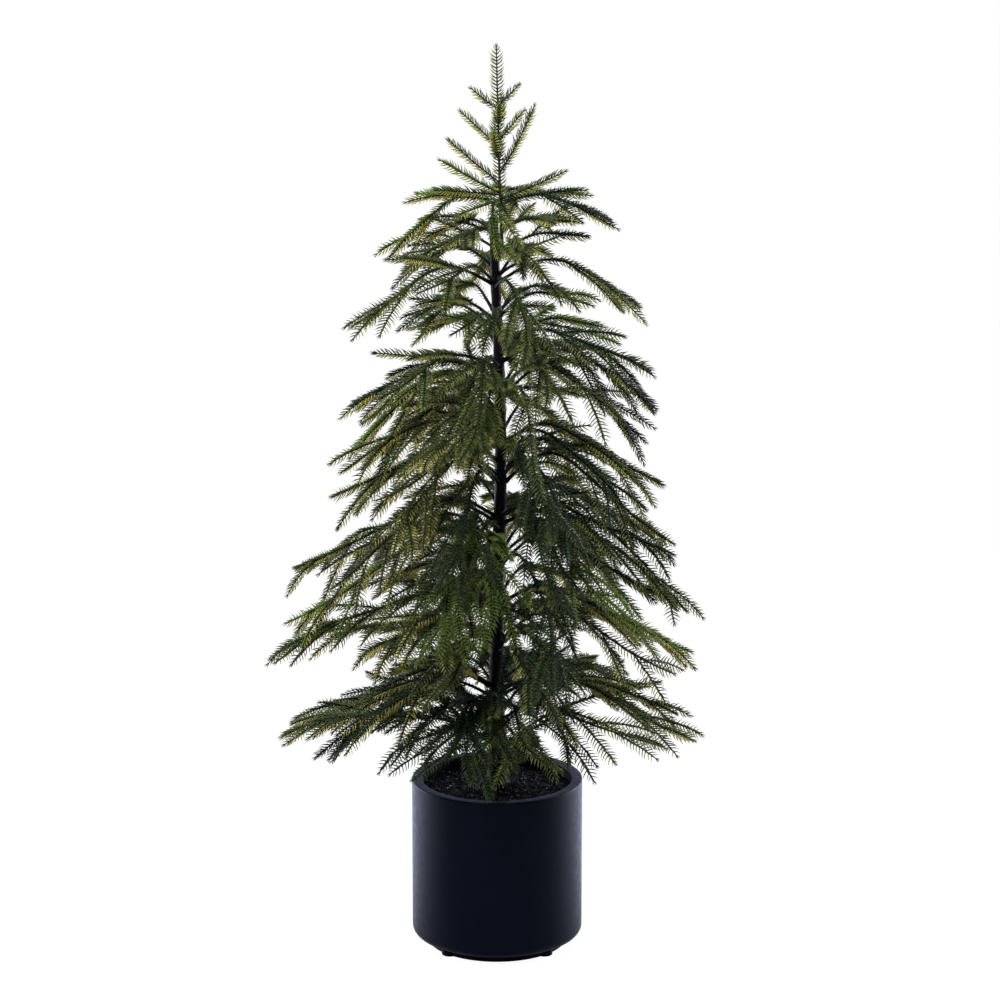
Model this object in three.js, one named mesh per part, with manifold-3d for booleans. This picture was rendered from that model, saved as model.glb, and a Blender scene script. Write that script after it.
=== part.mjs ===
// Artificial Norfolk Island pine in a plain cylindrical pot, in millimetres with +Z up.
// The origin is the centre of the pot's flat underside. +X is the tree's right, -Y its front.
// The trunk and the pot are built from turned profiles and tapered tubes. Seven whorls of four
// boughs each carry a drooping, lobed pad of foliage, and a leader with side sprigs tops the tree.

import * as THREE from "three";
import { mergeVertices } from "three/addons/utils/BufferGeometryUtils.js";
import Module from "manifold-3d";

const wasm = await Module();
wasm.setup();

// ---- driving dimensions ------------------------------------------------------------------

const OVERALL_HEIGHT = 1220;
const CLEARANCE = 0.3; // between pieces that touch

const POT = {
  radius: 115,
  height: 230,
  wall: 14,
  floor: 26,
  rimRound: 2.5,
  shoulderRound: 11,
  plinthRadius: 94,
  plinthHeight: 11,
  plinthRound: 2,
  segments: 40,
};

const FEET = { count: 4, radius: 11, height: 7, circle: 90, sides: 10 };

const SOIL = { belowRim: 14, moundHeight: 8, moundFlat: 24, moundRadius: 56 };

const TRUNK = {
  top: 994,
  flareRadius: 17,
  flareHeight: 26,
  lowRadius: 12,
  midRadius: 9.4,
  midShare: 0.3,
  topRadius: 6,
  bow: 5,
  bowStart: 500,
  bowHalfWaves: 1.35,
  sides: 12,
};

const LEADER = {
  stemFoot: 948,
  stemTop: 1038,
  stemRadius: 3.2,
  stemOffset: 4.5,
  stemBulge: 0.8,
  stemSides: 8,
  crownHalfWidth: 11,
  sprigHalfWidth: 8,
  levels: 5,
  lowestLevel: 1042,
  levelSpacing: 23,
  sprigShare: 0.49,
  sprigRise: THREE.MathUtils.degToRad(41),
};

// A tuft of needles round a shoot: blunt below, widest at a quarter of its length, pointed above.
const SPINDLE = { shares: [0, 0.25, 0.75, 1], widths: [0.55, 1, 0.7, 0.12], sides: 5 };

const SIDES = ["right", "back", "left", "front"];

// One row for each whorl, from the top down. turn is its rotation about the trunk in degrees.
// The lists are for the boughs on the right, back, left and front: height is the joint with the
// trunk, rise the slope there, reach how far the longest tip stands from the trunk, and drop how
// far that tip hangs below the joint.
const WHORLS = [
  {
    turn: -8,
    height: [1010, 1012, 1008, 1010],
    rise: [0.5, 0.5, 0.46, 0.42],
    reach: [146, 122, 150, 112],
    drop: [22, 40, 74, 60],
  },
  {
    turn: 14,
    height: [905, 912, 903, 900],
    rise: [0.58, 0.56, 0.56, 0.5],
    reach: [211, 180, 197, 165],
    drop: [49, 60, 49, 78],
  },
  {
    turn: -16,
    height: [800, 806, 776, 795],
    rise: [0.6, 0.56, 0.44, 0.52],
    reach: [226, 200, 208, 190],
    drop: [46, 62, 46, 92],
  },
  {
    turn: 15,
    height: [690, 697, 694, 684],
    rise: [0.6, 0.56, 0.56, 0.5],
    reach: [228, 222, 230, 208],
    drop: [86, 70, 40, 98],
  },
  {
    turn: -14,
    height: [580, 586, 582, 575],
    rise: [0.56, 0.54, 0.56, 0.5],
    reach: [266, 252, 300, 232],
    drop: [98, 80, 91, 104],
  },
  {
    turn: 12,
    height: [470, 476, 468, 462],
    rise: [0.54, 0.54, 0.48, 0.5],
    reach: [270, 268, 305, 246],
    drop: [92, 85, 60, 108],
  },
  {
    turn: -10,
    height: [350, 357, 352, 342],
    rise: [0.5, 0.5, 0.52, 0.48],
    reach: [274, 262, 292, 214],
    drop: [66, 88, 88, 80],
  },
];

const BOUGH = { footRadius: 5.2, endRadius: 3.6, sides: 6, rings: 3 };

const PAD = {
  start: 38,
  hubHalfWidth: 9,
  halfSpread: THREE.MathUtils.degToRad(40),
  lobes: 5,
  valley: 0.7,
  lobeVariation: 0.04,
  edgeShortening: 0.2,
  edgePower: 1.5,
  edgeThinning: 0.4,
  droopPower: 2.2,
  sideSag: 38,
  thickness: 46,
  stations: [0, 0.3, 0.6, 0.84, 1],
  fullness: [0.4, 1, 0.9, 0.55, 0],
  unevenness: 3.5,
};

// The pads of the top whorl begin at the leader's stem, so they need no bare bough.
const TOP_PAD = { start: 8.5, hubHalfWidth: 5, thickness: 24, sideSag: 16 };

// The side lobes of the lowest whorl hang down beside the pot.
const LOWEST_PAD = { sideSag: 82 };

// The side of a box that is larger than the crown's top and cuts solids off level.
const CUTTER_SIZE = 400;

const COLOURS = {
  pot: 0x11141c,
  soil: 0x17171a,
  bark: 0x1c1613,
  stem: 0x2c3a1c,
  foliage: 0x35491f,
};

// ---- meshes and solids -------------------------------------------------------------------

// Six times the signed volume of a surface given by corner points and index triples.
function signedVolume(points, triangles) {
  const across = new THREE.Vector3();
  return triangles.reduce(
    (sum, [a, b, c]) => sum + points[a].dot(across.crossVectors(points[b], points[c])),
    0,
  );
}

// A closed surface with its faces turned outwards.
function closedGeometry(points, triangles) {
  const outwards = signedVolume(points, triangles) > 0;
  const order = outwards ? triangles : triangles.map(([a, b, c]) => [a, c, b]);
  const geometry = new THREE.BufferGeometry().setFromPoints(points);
  geometry.setIndex(order.flat());
  return geometry;
}

// Two triangles for each cell between two rows of indices with the same length.
function strip(near, far, closed) {
  const cells = closed ? near.length : near.length - 1;
  const triangles = [];
  for (let i = 0; i < cells; i++) {
    const j = (i + 1) % near.length;
    triangles.push([near[i], near[j], far[j]], [near[i], far[j], far[i]]);
  }
  return triangles;
}

// A solid through rings of corners, closed at both ends by flat fans.
function loft(rings) {
  const sides = rings[0].length;
  const points = rings.flat();
  const ringIndices = rings.map((_, r) => [...Array(sides).keys()].map((i) => r * sides + i));
  const triangles = [];
  for (let r = 0; r + 1 < rings.length; r++) {
    triangles.push(...strip(ringIndices[r], ringIndices[r + 1], true));
  }
  for (const [r, firstEnd] of [[0, true], [rings.length - 1, false]]) {
    const centre = rings[r].reduce((sum, p) => sum.add(p), new THREE.Vector3());
    points.push(centre.divideScalar(sides));
    const tip = points.length - 1;
    for (let i = 0; i < sides; i++) {
      const here = ringIndices[r][i];
      const next = ringIndices[r][(i + 1) % sides];
      triangles.push(firstEnd ? [tip, next, here] : [tip, here, next]);
    }
  }
  return closedGeometry(points, triangles);
}

// A tapered tube: centres and radii are the places and half widths of its rings, and across is
// the direction in which every ring's first corner lies.
function taperedTube(centres, radii, sides, across = new THREE.Vector3(1, 0, 0)) {
  const curve = new THREE.CatmullRomCurve3(centres);
  const rings = centres.map((centre, i) => {
    const along = curve.getTangent(i / (centres.length - 1));
    const first = across.clone().addScaledVector(along, -across.dot(along)).normalize();
    const second = along.clone().cross(first);
    return [...Array(sides).keys()].map((k) => {
      const turn = (2 * Math.PI * k) / sides;
      return centre
        .clone()
        .addScaledVector(first, radii[i] * Math.cos(turn))
        .addScaledVector(second, radii[i] * Math.sin(turn));
    });
  });
  return loft(rings);
}

function solidOf(geometry) {
  const bare = geometry.clone();
  bare.deleteAttribute("normal");
  bare.deleteAttribute("uv");
  const merged = mergeVertices(bare, 1e-3);
  return new wasm.Manifold(
    new wasm.Mesh({
      numProp: 3,
      vertProperties: new Float32Array(merged.attributes.position.array),
      triVerts: new Uint32Array(merged.index.array),
    }),
  );
}

function geometryOf(solid) {
  const mesh = solid.getMesh();
  const geometry = new THREE.BufferGeometry();
  geometry.setAttribute("position", new THREE.BufferAttribute(mesh.vertProperties, mesh.numProp));
  geometry.setIndex(new THREE.BufferAttribute(mesh.triVerts, 1));
  return geometry;
}

// A profile of (radius, height) points turned about the Z axis.
function turned(profile, segments) {
  return new THREE.LatheGeometry(profile, segments).rotateX(Math.PI / 2);
}

// Points of a rounded corner with the given centre and radius, between two angles.
function roundedCorner(radiusAt, heightAt, round, from, to, steps = 3) {
  return [...Array(steps + 1).keys()].map((i) => {
    const turn = THREE.MathUtils.degToRad(from + ((to - from) * i) / steps);
    return new THREE.Vector2(radiusAt + round * Math.cos(turn), heightAt + round * Math.sin(turn));
  });
}

// A repeatable value from -1 to 1 for three whole numbers.
function unevenValue(a, b, c) {
  const mixed = Math.sin(a * 12.9898 + b * 78.233 + c * 37.719) * 43758.5453;
  return 2 * (mixed - Math.floor(mixed)) - 1;
}

// ---- pot and soil ------------------------------------------------------------------------

function potGeometry() {
  const inner = POT.radius - POT.wall;
  const profile = [
    new THREE.Vector2(0, 0),
    ...roundedCorner(POT.plinthRadius - POT.plinthRound, POT.plinthRound, POT.plinthRound, -90, 0, 2),
    new THREE.Vector2(POT.plinthRadius, POT.plinthHeight),
    ...roundedCorner(
      POT.radius - POT.shoulderRound,
      POT.plinthHeight + POT.shoulderRound,
      POT.shoulderRound,
      -90,
      0,
    ),
    ...roundedCorner(POT.radius - POT.rimRound, POT.height - POT.rimRound, POT.rimRound, 0, 90, 2),
    ...roundedCorner(inner + POT.rimRound, POT.height - POT.rimRound, POT.rimRound, 90, 180, 2),
    new THREE.Vector2(inner, POT.floor),
    new THREE.Vector2(0, POT.floor),
  ];
  let pot = solidOf(turned(profile, POT.segments));
  for (let i = 0; i < FEET.count; i++) {
    const turn = (2 * Math.PI * (i + 0.5)) / FEET.count;
    const foot = new THREE.CylinderGeometry(FEET.radius, FEET.radius, FEET.height, FEET.sides)
      .rotateX(Math.PI / 2)
      .translate(FEET.circle * Math.cos(turn), FEET.circle * Math.sin(turn), FEET.height / 2);
    pot = pot.add(solidOf(foot));
  }
  return geometryOf(pot);
}

function soilGeometry() {
  const edge = POT.radius - POT.wall - CLEARANCE;
  const level = POT.height - SOIL.belowRim;
  const profile = [
    new THREE.Vector2(0, POT.floor + CLEARANCE),
    new THREE.Vector2(edge, POT.floor + CLEARANCE),
    new THREE.Vector2(edge, level),
    new THREE.Vector2(SOIL.moundRadius, level),
    new THREE.Vector2((SOIL.moundRadius + SOIL.moundFlat) / 2, level + 0.6 * SOIL.moundHeight),
    new THREE.Vector2(SOIL.moundFlat, level + SOIL.moundHeight),
    new THREE.Vector2(0, level + SOIL.moundHeight),
  ];
  return turned(profile, POT.segments);
}

// ---- trunk -------------------------------------------------------------------------------

const TRUNK_FOOT = POT.height - SOIL.belowRim + SOIL.moundHeight + CLEARANCE;

// The trunk's sideways place at a height: upright below, with one slight bow in the upper half.
function trunkX(z) {
  if (z < TRUNK.bowStart) return 0;
  const share = (z - TRUNK.bowStart) / (TRUNK.top - TRUNK.bowStart);
  return TRUNK.bow * Math.sin(share * TRUNK.bowHalfWaves * Math.PI);
}

// The trunk's radius at a height: a root flare, a stout lower half and a slim top.
function trunkRadius(z) {
  const aboveFoot = z - TRUNK_FOOT;
  const share = THREE.MathUtils.clamp(aboveFoot / (TRUNK.top - TRUNK_FOOT), 0, 1);
  const flare = Math.max(0, 1 - aboveFoot / TRUNK.flareHeight) ** 2;
  const { lowRadius, midRadius, topRadius, midShare } = TRUNK;
  const straight =
    share < midShare
      ? THREE.MathUtils.mapLinear(share, 0, midShare, lowRadius, midRadius)
      : THREE.MathUtils.mapLinear(share, midShare, 1, midRadius, topRadius);
  return straight + flare * (TRUNK.flareRadius - TRUNK.lowRadius);
}

function trunkSolid(allowance) {
  const heights = [TRUNK_FOOT, TRUNK_FOOT + 6, TRUNK_FOOT + 14, TRUNK_FOOT + TRUNK.flareHeight];
  const steps = 10;
  for (let i = 1; i <= steps; i++) {
    heights.push(THREE.MathUtils.mapLinear(i, 0, steps, TRUNK_FOOT + TRUNK.flareHeight, TRUNK.top));
  }
  const centres = heights.map((z) => new THREE.Vector3(trunkX(z), 0, z));
  const radii = heights.map((z) => trunkRadius(z) + allowance);
  const whole = solidOf(taperedTube(centres, radii, TRUNK.sides));
  // Both ends are cut flat and level.
  const trimmed = TRUNK.top - TRUNK_FOOT - 1;
  const box = new THREE.BoxGeometry(CUTTER_SIZE, CUTTER_SIZE, trimmed);
  return whole.intersect(solidOf(box.translate(0, 0, (TRUNK.top + TRUNK_FOOT) / 2)));
}

// ---- boughs and their foliage -------------------------------------------------------------

function padSizes(whorlIndex) {
  if (whorlIndex === 0) return { ...PAD, ...TOP_PAD };
  if (whorlIndex === WHORLS.length - 1) return { ...PAD, ...LOWEST_PAD };
  return PAD;
}

// A bough's own frame: its place on the trunk, its direction and the curve it follows.
function boughPlan(whorlIndex, sideIndex) {
  const whorl = WHORLS[whorlIndex];
  const height = whorl.height[sideIndex];
  return {
    whorlIndex,
    sideIndex,
    height,
    pad: padSizes(whorlIndex),
    azimuth: THREE.MathUtils.degToRad(90 * sideIndex + whorl.turn),
    axisX: whorlIndex === 0 ? LEADER.stemOffset : trunkX(height),
    rise: whorl.rise[sideIndex],
    reach: whorl.reach[sideIndex],
    drop: whorl.drop[sideIndex],
  };
}

// The height of a bough's curve at a distance from the trunk: it rises, arches and droops.
function boughHeight(plan, distance) {
  const climb = plan.rise * distance;
  const fall = (plan.rise * plan.reach + plan.drop) * (distance / plan.reach) ** PAD.droopPower;
  return plan.height + climb - fall;
}

// A point given along and across a bough's direction.
function boughPoint(plan, along, across, z) {
  const cos = Math.cos(plan.azimuth);
  const sin = Math.sin(plan.azimuth);
  return new THREE.Vector3(plan.axisX + along * cos - across * sin, along * sin + across * cos, z);
}

function boughGeometry(plan, trunkCutter) {
  const end = plan.pad.start - CLEARANCE;
  const rings = [...Array(BOUGH.rings).keys()].map((r) => {
    const share = r / (BOUGH.rings - 1);
    const along = share * end;
    const radius = THREE.MathUtils.lerp(BOUGH.footRadius, BOUGH.endRadius, share);
    return [...Array(BOUGH.sides).keys()].map((k) => {
      const turn = (2 * Math.PI * (k + 0.5)) / BOUGH.sides;
      const z = boughHeight(plan, along) + radius * Math.sin(turn);
      return boughPoint(plan, along, radius * Math.cos(turn), z);
    });
  });
  const pieces = solidOf(loft(rings)).subtract(trunkCutter).decompose();
  // What sticks out on the trunk's far side is dropped: the bough is the longest piece.
  pieces.sort((a, b) => b.volume() - a.volume());
  return geometryOf(pieces[0]);
}

// A closed pad of foliage: a fan of spokes from the bough's end, long ones under the tips of its
// lobes and short ones in the gaps between them, with an upper and a lower skin that meet at
// the rim and hang over the bough's curve.
function foliageGeometry(plan) {
  const { pad, reach } = plan;
  const spokes = 2 * pad.lobes + 1;
  const last = pad.stations.length - 1;
  const points = [];
  const upper = [];
  const lower = [];
  for (let i = 0; i < spokes; i++) {
    const side = (2 * i) / (spokes - 1) - 1;
    const seed = 10 * plan.whorlIndex + plan.sideIndex;
    const lobe = i % 2 === 1 ? 1 : pad.valley;
    const uneven = i === pad.lobes ? 0 : pad.lobeVariation * unevenValue(seed, i, 1);
    const shortening = pad.edgeShortening * Math.abs(side) ** pad.edgePower;
    const length = reach * lobe * (1 - shortening + uneven);
    const spread = side * pad.halfSpread;
    upper.push([]);
    lower.push([]);
    pad.stations.forEach((share, s) => {
      const along = THREE.MathUtils.lerp(pad.start, length * Math.cos(spread), share);
      const across = THREE.MathUtils.lerp(side * pad.hubHalfWidth, length * Math.sin(spread), share);
      const distance = Math.hypot(along, across);
      const sag = pad.sideSag * side * side * (distance / reach);
      const lift = s > 0 && s < last ? pad.unevenness * unevenValue(seed, i, s + 2) : 0;
      const middle = boughHeight(plan, distance) - sag + lift;
      const half = 0.5 * pad.thickness * pad.fullness[s] * (1 - pad.edgeThinning * side * side);
      points.push(boughPoint(plan, along, across, middle + half));
      upper[i].push(points.length - 1);
      if (s < last) points.push(boughPoint(plan, along, across, middle - half));
      lower[i].push(points.length - 1);
    });
  }
  const triangles = [];
  for (let i = 0; i + 1 < spokes; i++) {
    triangles.push(...strip(upper[i], upper[i + 1], false));
    triangles.push(...strip(lower[i + 1], lower[i], false));
    triangles.push([upper[i][0], upper[i + 1][0], lower[i + 1][0]]);
    triangles.push([upper[i][0], lower[i + 1][0], lower[i][0]]);
  }
  for (const [i, flipped] of [[0, false], [spokes - 1, true]]) {
    for (let s = 0; s < last; s++) {
      const wall = [[upper[i][s], lower[i][s], upper[i][s + 1]]];
      if (s + 1 < last) wall.push([upper[i][s + 1], lower[i][s], lower[i][s + 1]]);
      triangles.push(...(flipped ? wall.map(([a, b, c]) => [a, c, b]) : wall));
    }
  }
  return closedGeometry(points, triangles);
}

// ---- leader ------------------------------------------------------------------------------

// The leader stands beside the trunk's cut top and leans back over it towards the tree's tip.
function leaderX(z) {
  const share = THREE.MathUtils.clamp((z - LEADER.stemTop) / (OVERALL_HEIGHT - LEADER.stemTop), 0, 1);
  return LEADER.stemOffset * (1 - share) - share;
}

function leaderStemGeometry() {
  const beside = trunkX(LEADER.stemFoot) + trunkRadius(LEADER.stemFoot);
  const foot = beside + LEADER.stemRadius + 2 * CLEARANCE;
  const clearOfTop = trunkX(TRUNK.top) + TRUNK.topRadius + LEADER.stemRadius + 2 * CLEARANCE;
  const bowed = (foot + clearOfTop) / 2 + LEADER.stemBulge;
  const centres = [
    new THREE.Vector3(foot, 0, LEADER.stemFoot),
    new THREE.Vector3(bowed, 0, (LEADER.stemFoot + TRUNK.top) / 2),
    new THREE.Vector3(Math.max(clearOfTop, LEADER.stemOffset), 0, TRUNK.top),
    new THREE.Vector3(LEADER.stemOffset, 0, LEADER.stemTop - CLEARANCE),
  ];
  const radii = [1, 1, 1, 0.9].map((share) => share * LEADER.stemRadius);
  return taperedTube(centres, radii, LEADER.stemSides);
}

function spindleSolid(foot, tip, halfWidth) {
  const centres = SPINDLE.shares.map((share) => foot.clone().lerp(tip, share));
  const radii = SPINDLE.widths.map((width) => width * halfWidth);
  const sideways = Math.abs(tip.x - foot.x) > 1;
  const across = sideways ? new THREE.Vector3(0, 1, 0) : new THREE.Vector3(1, 0, 0);
  return solidOf(taperedTube(centres, radii, SPINDLE.sides, across));
}

function leaderFoliageGeometry() {
  const foot = new THREE.Vector3(LEADER.stemOffset, 0, LEADER.stemTop);
  const tip = new THREE.Vector3(leaderX(OVERALL_HEIGHT), 0, OVERALL_HEIGHT);
  let foliage = spindleSolid(foot, tip, LEADER.crownHalfWidth);
  for (let level = 0; level < LEADER.levels; level++) {
    const z = LEADER.lowestLevel + level * LEADER.levelSpacing;
    const length = LEADER.sprigShare * (OVERALL_HEIGHT - z);
    // Levels point left and right, then front and back, in turn.
    const crosswise = level % 2 === 0 ? 0 : Math.PI / 2;
    for (const turn of [crosswise, crosswise + Math.PI]) {
      const out = length * Math.cos(LEADER.sprigRise);
      const start = new THREE.Vector3(leaderX(z), 0, z);
      const end = new THREE.Vector3(
        start.x + out * Math.cos(turn),
        out * Math.sin(turn),
        z + length * Math.sin(LEADER.sprigRise),
      );
      foliage = foliage.add(spindleSolid(start, end, LEADER.sprigHalfWidth));
    }
  }
  // The lowest sprigs are cut level where the leader's stem ends.
  const above = new THREE.BoxGeometry(CUTTER_SIZE, CUTTER_SIZE, CUTTER_SIZE);
  above.translate(0, 0, LEADER.stemTop + CUTTER_SIZE / 2);
  return geometryOf(foliage.intersect(solidOf(above)));
}

// ---- assembly ----------------------------------------------------------------------------

const FINISHES = {
  pot: new THREE.MeshStandardMaterial({ color: COLOURS.pot, roughness: 0.5 }),
  soil: new THREE.MeshStandardMaterial({ color: COLOURS.soil, roughness: 0.95 }),
  bark: new THREE.MeshStandardMaterial({ color: COLOURS.bark, roughness: 0.8 }),
  stem: new THREE.MeshStandardMaterial({ color: COLOURS.stem, roughness: 0.7 }),
  foliage: new THREE.MeshStandardMaterial({ color: COLOURS.foliage, roughness: 0.75 }),
};

const tree = new THREE.Group();

function place(name, geometry, finish, group = tree) {
  const mesh = new THREE.Mesh(geometry, finish);
  mesh.name = name;
  group.add(mesh);
}

place("pot", potGeometry(), FINISHES.pot);
place("soil", soilGeometry(), FINISHES.soil);
place("trunk", geometryOf(trunkSolid(0)), FINISHES.bark);
place("leader_stem", leaderStemGeometry(), FINISHES.stem);
place("leader_foliage", leaderFoliageGeometry(), FINISHES.foliage);

const trunkCutter = trunkSolid(CLEARANCE);
WHORLS.forEach((_, whorlIndex) => {
  const whorlGroup = new THREE.Group();
  tree.add(whorlGroup);
  SIDES.forEach((side, sideIndex) => {
    const plan = boughPlan(whorlIndex, sideIndex);
    const label = `${whorlIndex + 1}_${side}`;
    if (whorlIndex > 0) {
      place(`bough_${label}`, boughGeometry(plan, trunkCutter), FINISHES.bark, whorlGroup);
    }
    place(`foliage_${label}`, foliageGeometry(plan), FINISHES.foliage, whorlGroup);
  });
});

export default tree;
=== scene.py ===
"""An artificial Norfolk Island pine in a plain round pot, dressed round its fixed frame.

Lengths are in metres, with +Z up, -Y the front and the origin under the middle of the pot. The
pot, the grit and the trunk are rebuilt with their fine surface. Boughs, sprigs and needles grow on
from the frame's limbs by seeded rules, one spray for each mass of foliage in the frame.
"""

import logging
import math
from collections.abc import Iterable, Sequence
from dataclasses import dataclass, field, replace
from enum import Enum

import bpy
import numpy as np
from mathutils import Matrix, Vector, noise


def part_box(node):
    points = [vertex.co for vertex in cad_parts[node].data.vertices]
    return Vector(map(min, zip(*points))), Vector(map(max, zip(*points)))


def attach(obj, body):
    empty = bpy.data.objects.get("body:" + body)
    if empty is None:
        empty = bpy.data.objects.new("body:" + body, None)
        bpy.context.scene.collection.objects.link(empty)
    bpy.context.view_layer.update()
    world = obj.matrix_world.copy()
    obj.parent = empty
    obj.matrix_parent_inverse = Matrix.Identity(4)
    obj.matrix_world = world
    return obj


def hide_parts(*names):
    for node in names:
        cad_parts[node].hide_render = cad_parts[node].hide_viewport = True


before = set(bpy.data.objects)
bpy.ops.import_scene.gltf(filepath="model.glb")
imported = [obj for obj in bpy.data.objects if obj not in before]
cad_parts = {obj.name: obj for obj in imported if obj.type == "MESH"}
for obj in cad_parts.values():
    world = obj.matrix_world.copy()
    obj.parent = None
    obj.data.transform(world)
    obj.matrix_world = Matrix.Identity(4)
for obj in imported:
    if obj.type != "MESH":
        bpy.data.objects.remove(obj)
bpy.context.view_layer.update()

LOG = logging.getLogger("tree")
MM = 0.001
BODY = "root"
SEED = 4117
MOST_TRIANGLES = 190_000
THICK_STEM = 2 * MM
Colour = tuple[float, float, float, float]


# ---- named choices -------------------------------------------------------------------------


class Side(Enum):
    """The side of the trunk that a mass of foliage grows on."""

    RIGHT = "right"
    BACK = "back"
    LEFT = "left"
    FRONT = "front"


class Tone(Enum):
    """The colour that a row of needles is moulded in. Where the darker tones are dealt to boughs that lie in
    shade, they are painted shade as well.
    """

    FRESH = "fresh"
    LEAF = "leaf"
    BLUE = "blue"
    SHADE = "shade"
    OLIVE = "olive"
    STRAW = "straw"
    MOSS = "moss"


class Slot(Enum):
    """The material slots of the frame's record."""

    POT = "pot"
    SOIL = "soil"
    BARK = "bark"
    STEM = "stem"
    FOLIAGE = "foliage"


# ---- shader node groups --------------------------------------------------------------------


class GroupSheet:
    """A shader node group under construction, with named inputs and outputs."""

    def __init__(self, name: str) -> None:
        """Start an empty group.

        Args:
            name: The group's name.
        """
        self.tree = bpy.data.node_groups.new(name, "ShaderNodeTree")
        self.entry = self.tree.nodes.new("NodeGroupInput")
        self.leave = self.tree.nodes.new("NodeGroupOutput")

    def takes(self, name: str, kind: str, value: object) -> None:
        """Add an input socket with its usual value."""
        made = self.tree.interface.new_socket(name, in_out="INPUT", socket_type=kind)
        made.default_value = value

    def gives(self, name: str, kind: str) -> None:
        """Add an output socket."""
        self.tree.interface.new_socket(name, in_out="OUTPUT", socket_type=kind)

    def node(self, kind: str, **settings: object) -> bpy.types.Node:
        """Add a node and set its properties.

        Args:
            kind: The node's Blender type.
            **settings: Properties of the node and their values.

        Returns:
            The new node.
        """
        made = self.tree.nodes.new(kind)
        for name, value in settings.items():
            setattr(made, name, value)
        return made

    def link(self, start: bpy.types.NodeSocket, end: bpy.types.NodeSocket) -> None:
        """Join an output socket to an input socket."""
        self.tree.links.new(start, end)


def speckle_group() -> bpy.types.NodeTree:
    """Build the grain that every moulded, gritty and woody finish shares.

    Returns:
        A group with inputs Scale, Stretch and Sharpness and outputs Mask and Height. Mask is a
        broad mottling and Height a fine relief, both from 0 to 1.
    """
    sheet = GroupSheet("speckle")
    sheet.takes("Scale", "NodeSocketFloat", 400.0)
    sheet.takes("Stretch", "NodeSocketVector", (1.0, 1.0, 1.0))
    sheet.takes("Sharpness", "NodeSocketFloat", 0.5)
    sheet.gives("Mask", "NodeSocketFloat")
    sheet.gives("Height", "NodeSocketFloat")
    place = sheet.node("ShaderNodeTexCoord")
    stretch = sheet.node("ShaderNodeVectorMath", operation="MULTIPLY")
    fine = sheet.node("ShaderNodeTexNoise", noise_dimensions="3D")
    fine.inputs["Detail"].default_value = 3.0
    coarse_scale = sheet.node("ShaderNodeMath", operation="MULTIPLY")
    coarse_scale.inputs[1].default_value = 0.12
    coarse = sheet.node("ShaderNodeTexNoise", noise_dimensions="3D")
    coarse.inputs["Detail"].default_value = 4.0
    sheet.link(place.outputs["Object"], stretch.inputs[0])
    sheet.link(sheet.entry.outputs["Stretch"], stretch.inputs[1])
    sheet.link(sheet.entry.outputs["Scale"], fine.inputs["Scale"])
    sheet.link(sheet.entry.outputs["Sharpness"], fine.inputs["Roughness"])
    sheet.link(sheet.entry.outputs["Scale"], coarse_scale.inputs[0])
    sheet.link(coarse_scale.outputs[0], coarse.inputs["Scale"])
    for texture in (fine, coarse):
        sheet.link(stretch.outputs[0], texture.inputs["Vector"])
    contrast = sheet.node("ShaderNodeMapRange", interpolation_type="SMOOTHSTEP")
    contrast.inputs["From Min"].default_value = 0.35
    contrast.inputs["From Max"].default_value = 0.65
    sheet.link(coarse.outputs["Fac"], contrast.inputs["Value"])
    sheet.link(contrast.outputs["Result"], sheet.leave.inputs["Mask"])
    sheet.link(fine.outputs["Fac"], sheet.leave.inputs["Height"])
    return sheet.tree


def blend_group() -> bpy.types.NodeTree:
    """Build the mix of two colours, and of two roughness values, by one mask.

    Returns:
        A group with inputs Mask, First, Second, Smooth and Rough, and outputs Colour and
        Roughness.
    """
    sheet = GroupSheet("two_tone")
    sheet.takes("Mask", "NodeSocketFloat", 0.5)
    sheet.takes("First", "NodeSocketColor", (0.5, 0.5, 0.5, 1.0))
    sheet.takes("Second", "NodeSocketColor", (0.5, 0.5, 0.5, 1.0))
    sheet.takes("Smooth", "NodeSocketFloat", 0.4)
    sheet.takes("Rough", "NodeSocketFloat", 0.6)
    sheet.gives("Colour", "NodeSocketColor")
    sheet.gives("Roughness", "NodeSocketFloat")
    colour = sheet.node("ShaderNodeMix", data_type="RGBA")
    rough = sheet.node("ShaderNodeMix", data_type="FLOAT")
    sheet.link(sheet.entry.outputs["Mask"], colour.inputs[0])
    sheet.link(sheet.entry.outputs["Mask"], rough.inputs[0])
    sheet.link(sheet.entry.outputs["First"], colour.inputs[6])
    sheet.link(sheet.entry.outputs["Second"], colour.inputs[7])
    sheet.link(sheet.entry.outputs["Smooth"], rough.inputs[2])
    sheet.link(sheet.entry.outputs["Rough"], rough.inputs[3])
    sheet.link(colour.outputs[2], sheet.leave.inputs["Colour"])
    sheet.link(rough.outputs[0], sheet.leave.inputs["Roughness"])
    return sheet.tree


class ShaderStock:
    """The node groups that the finishes share, each built once."""

    def __init__(self) -> None:
        """Build the groups."""
        self.speckle = speckle_group()
        self.two_tone = blend_group()


# ---- finishes ------------------------------------------------------------------------------


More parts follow.
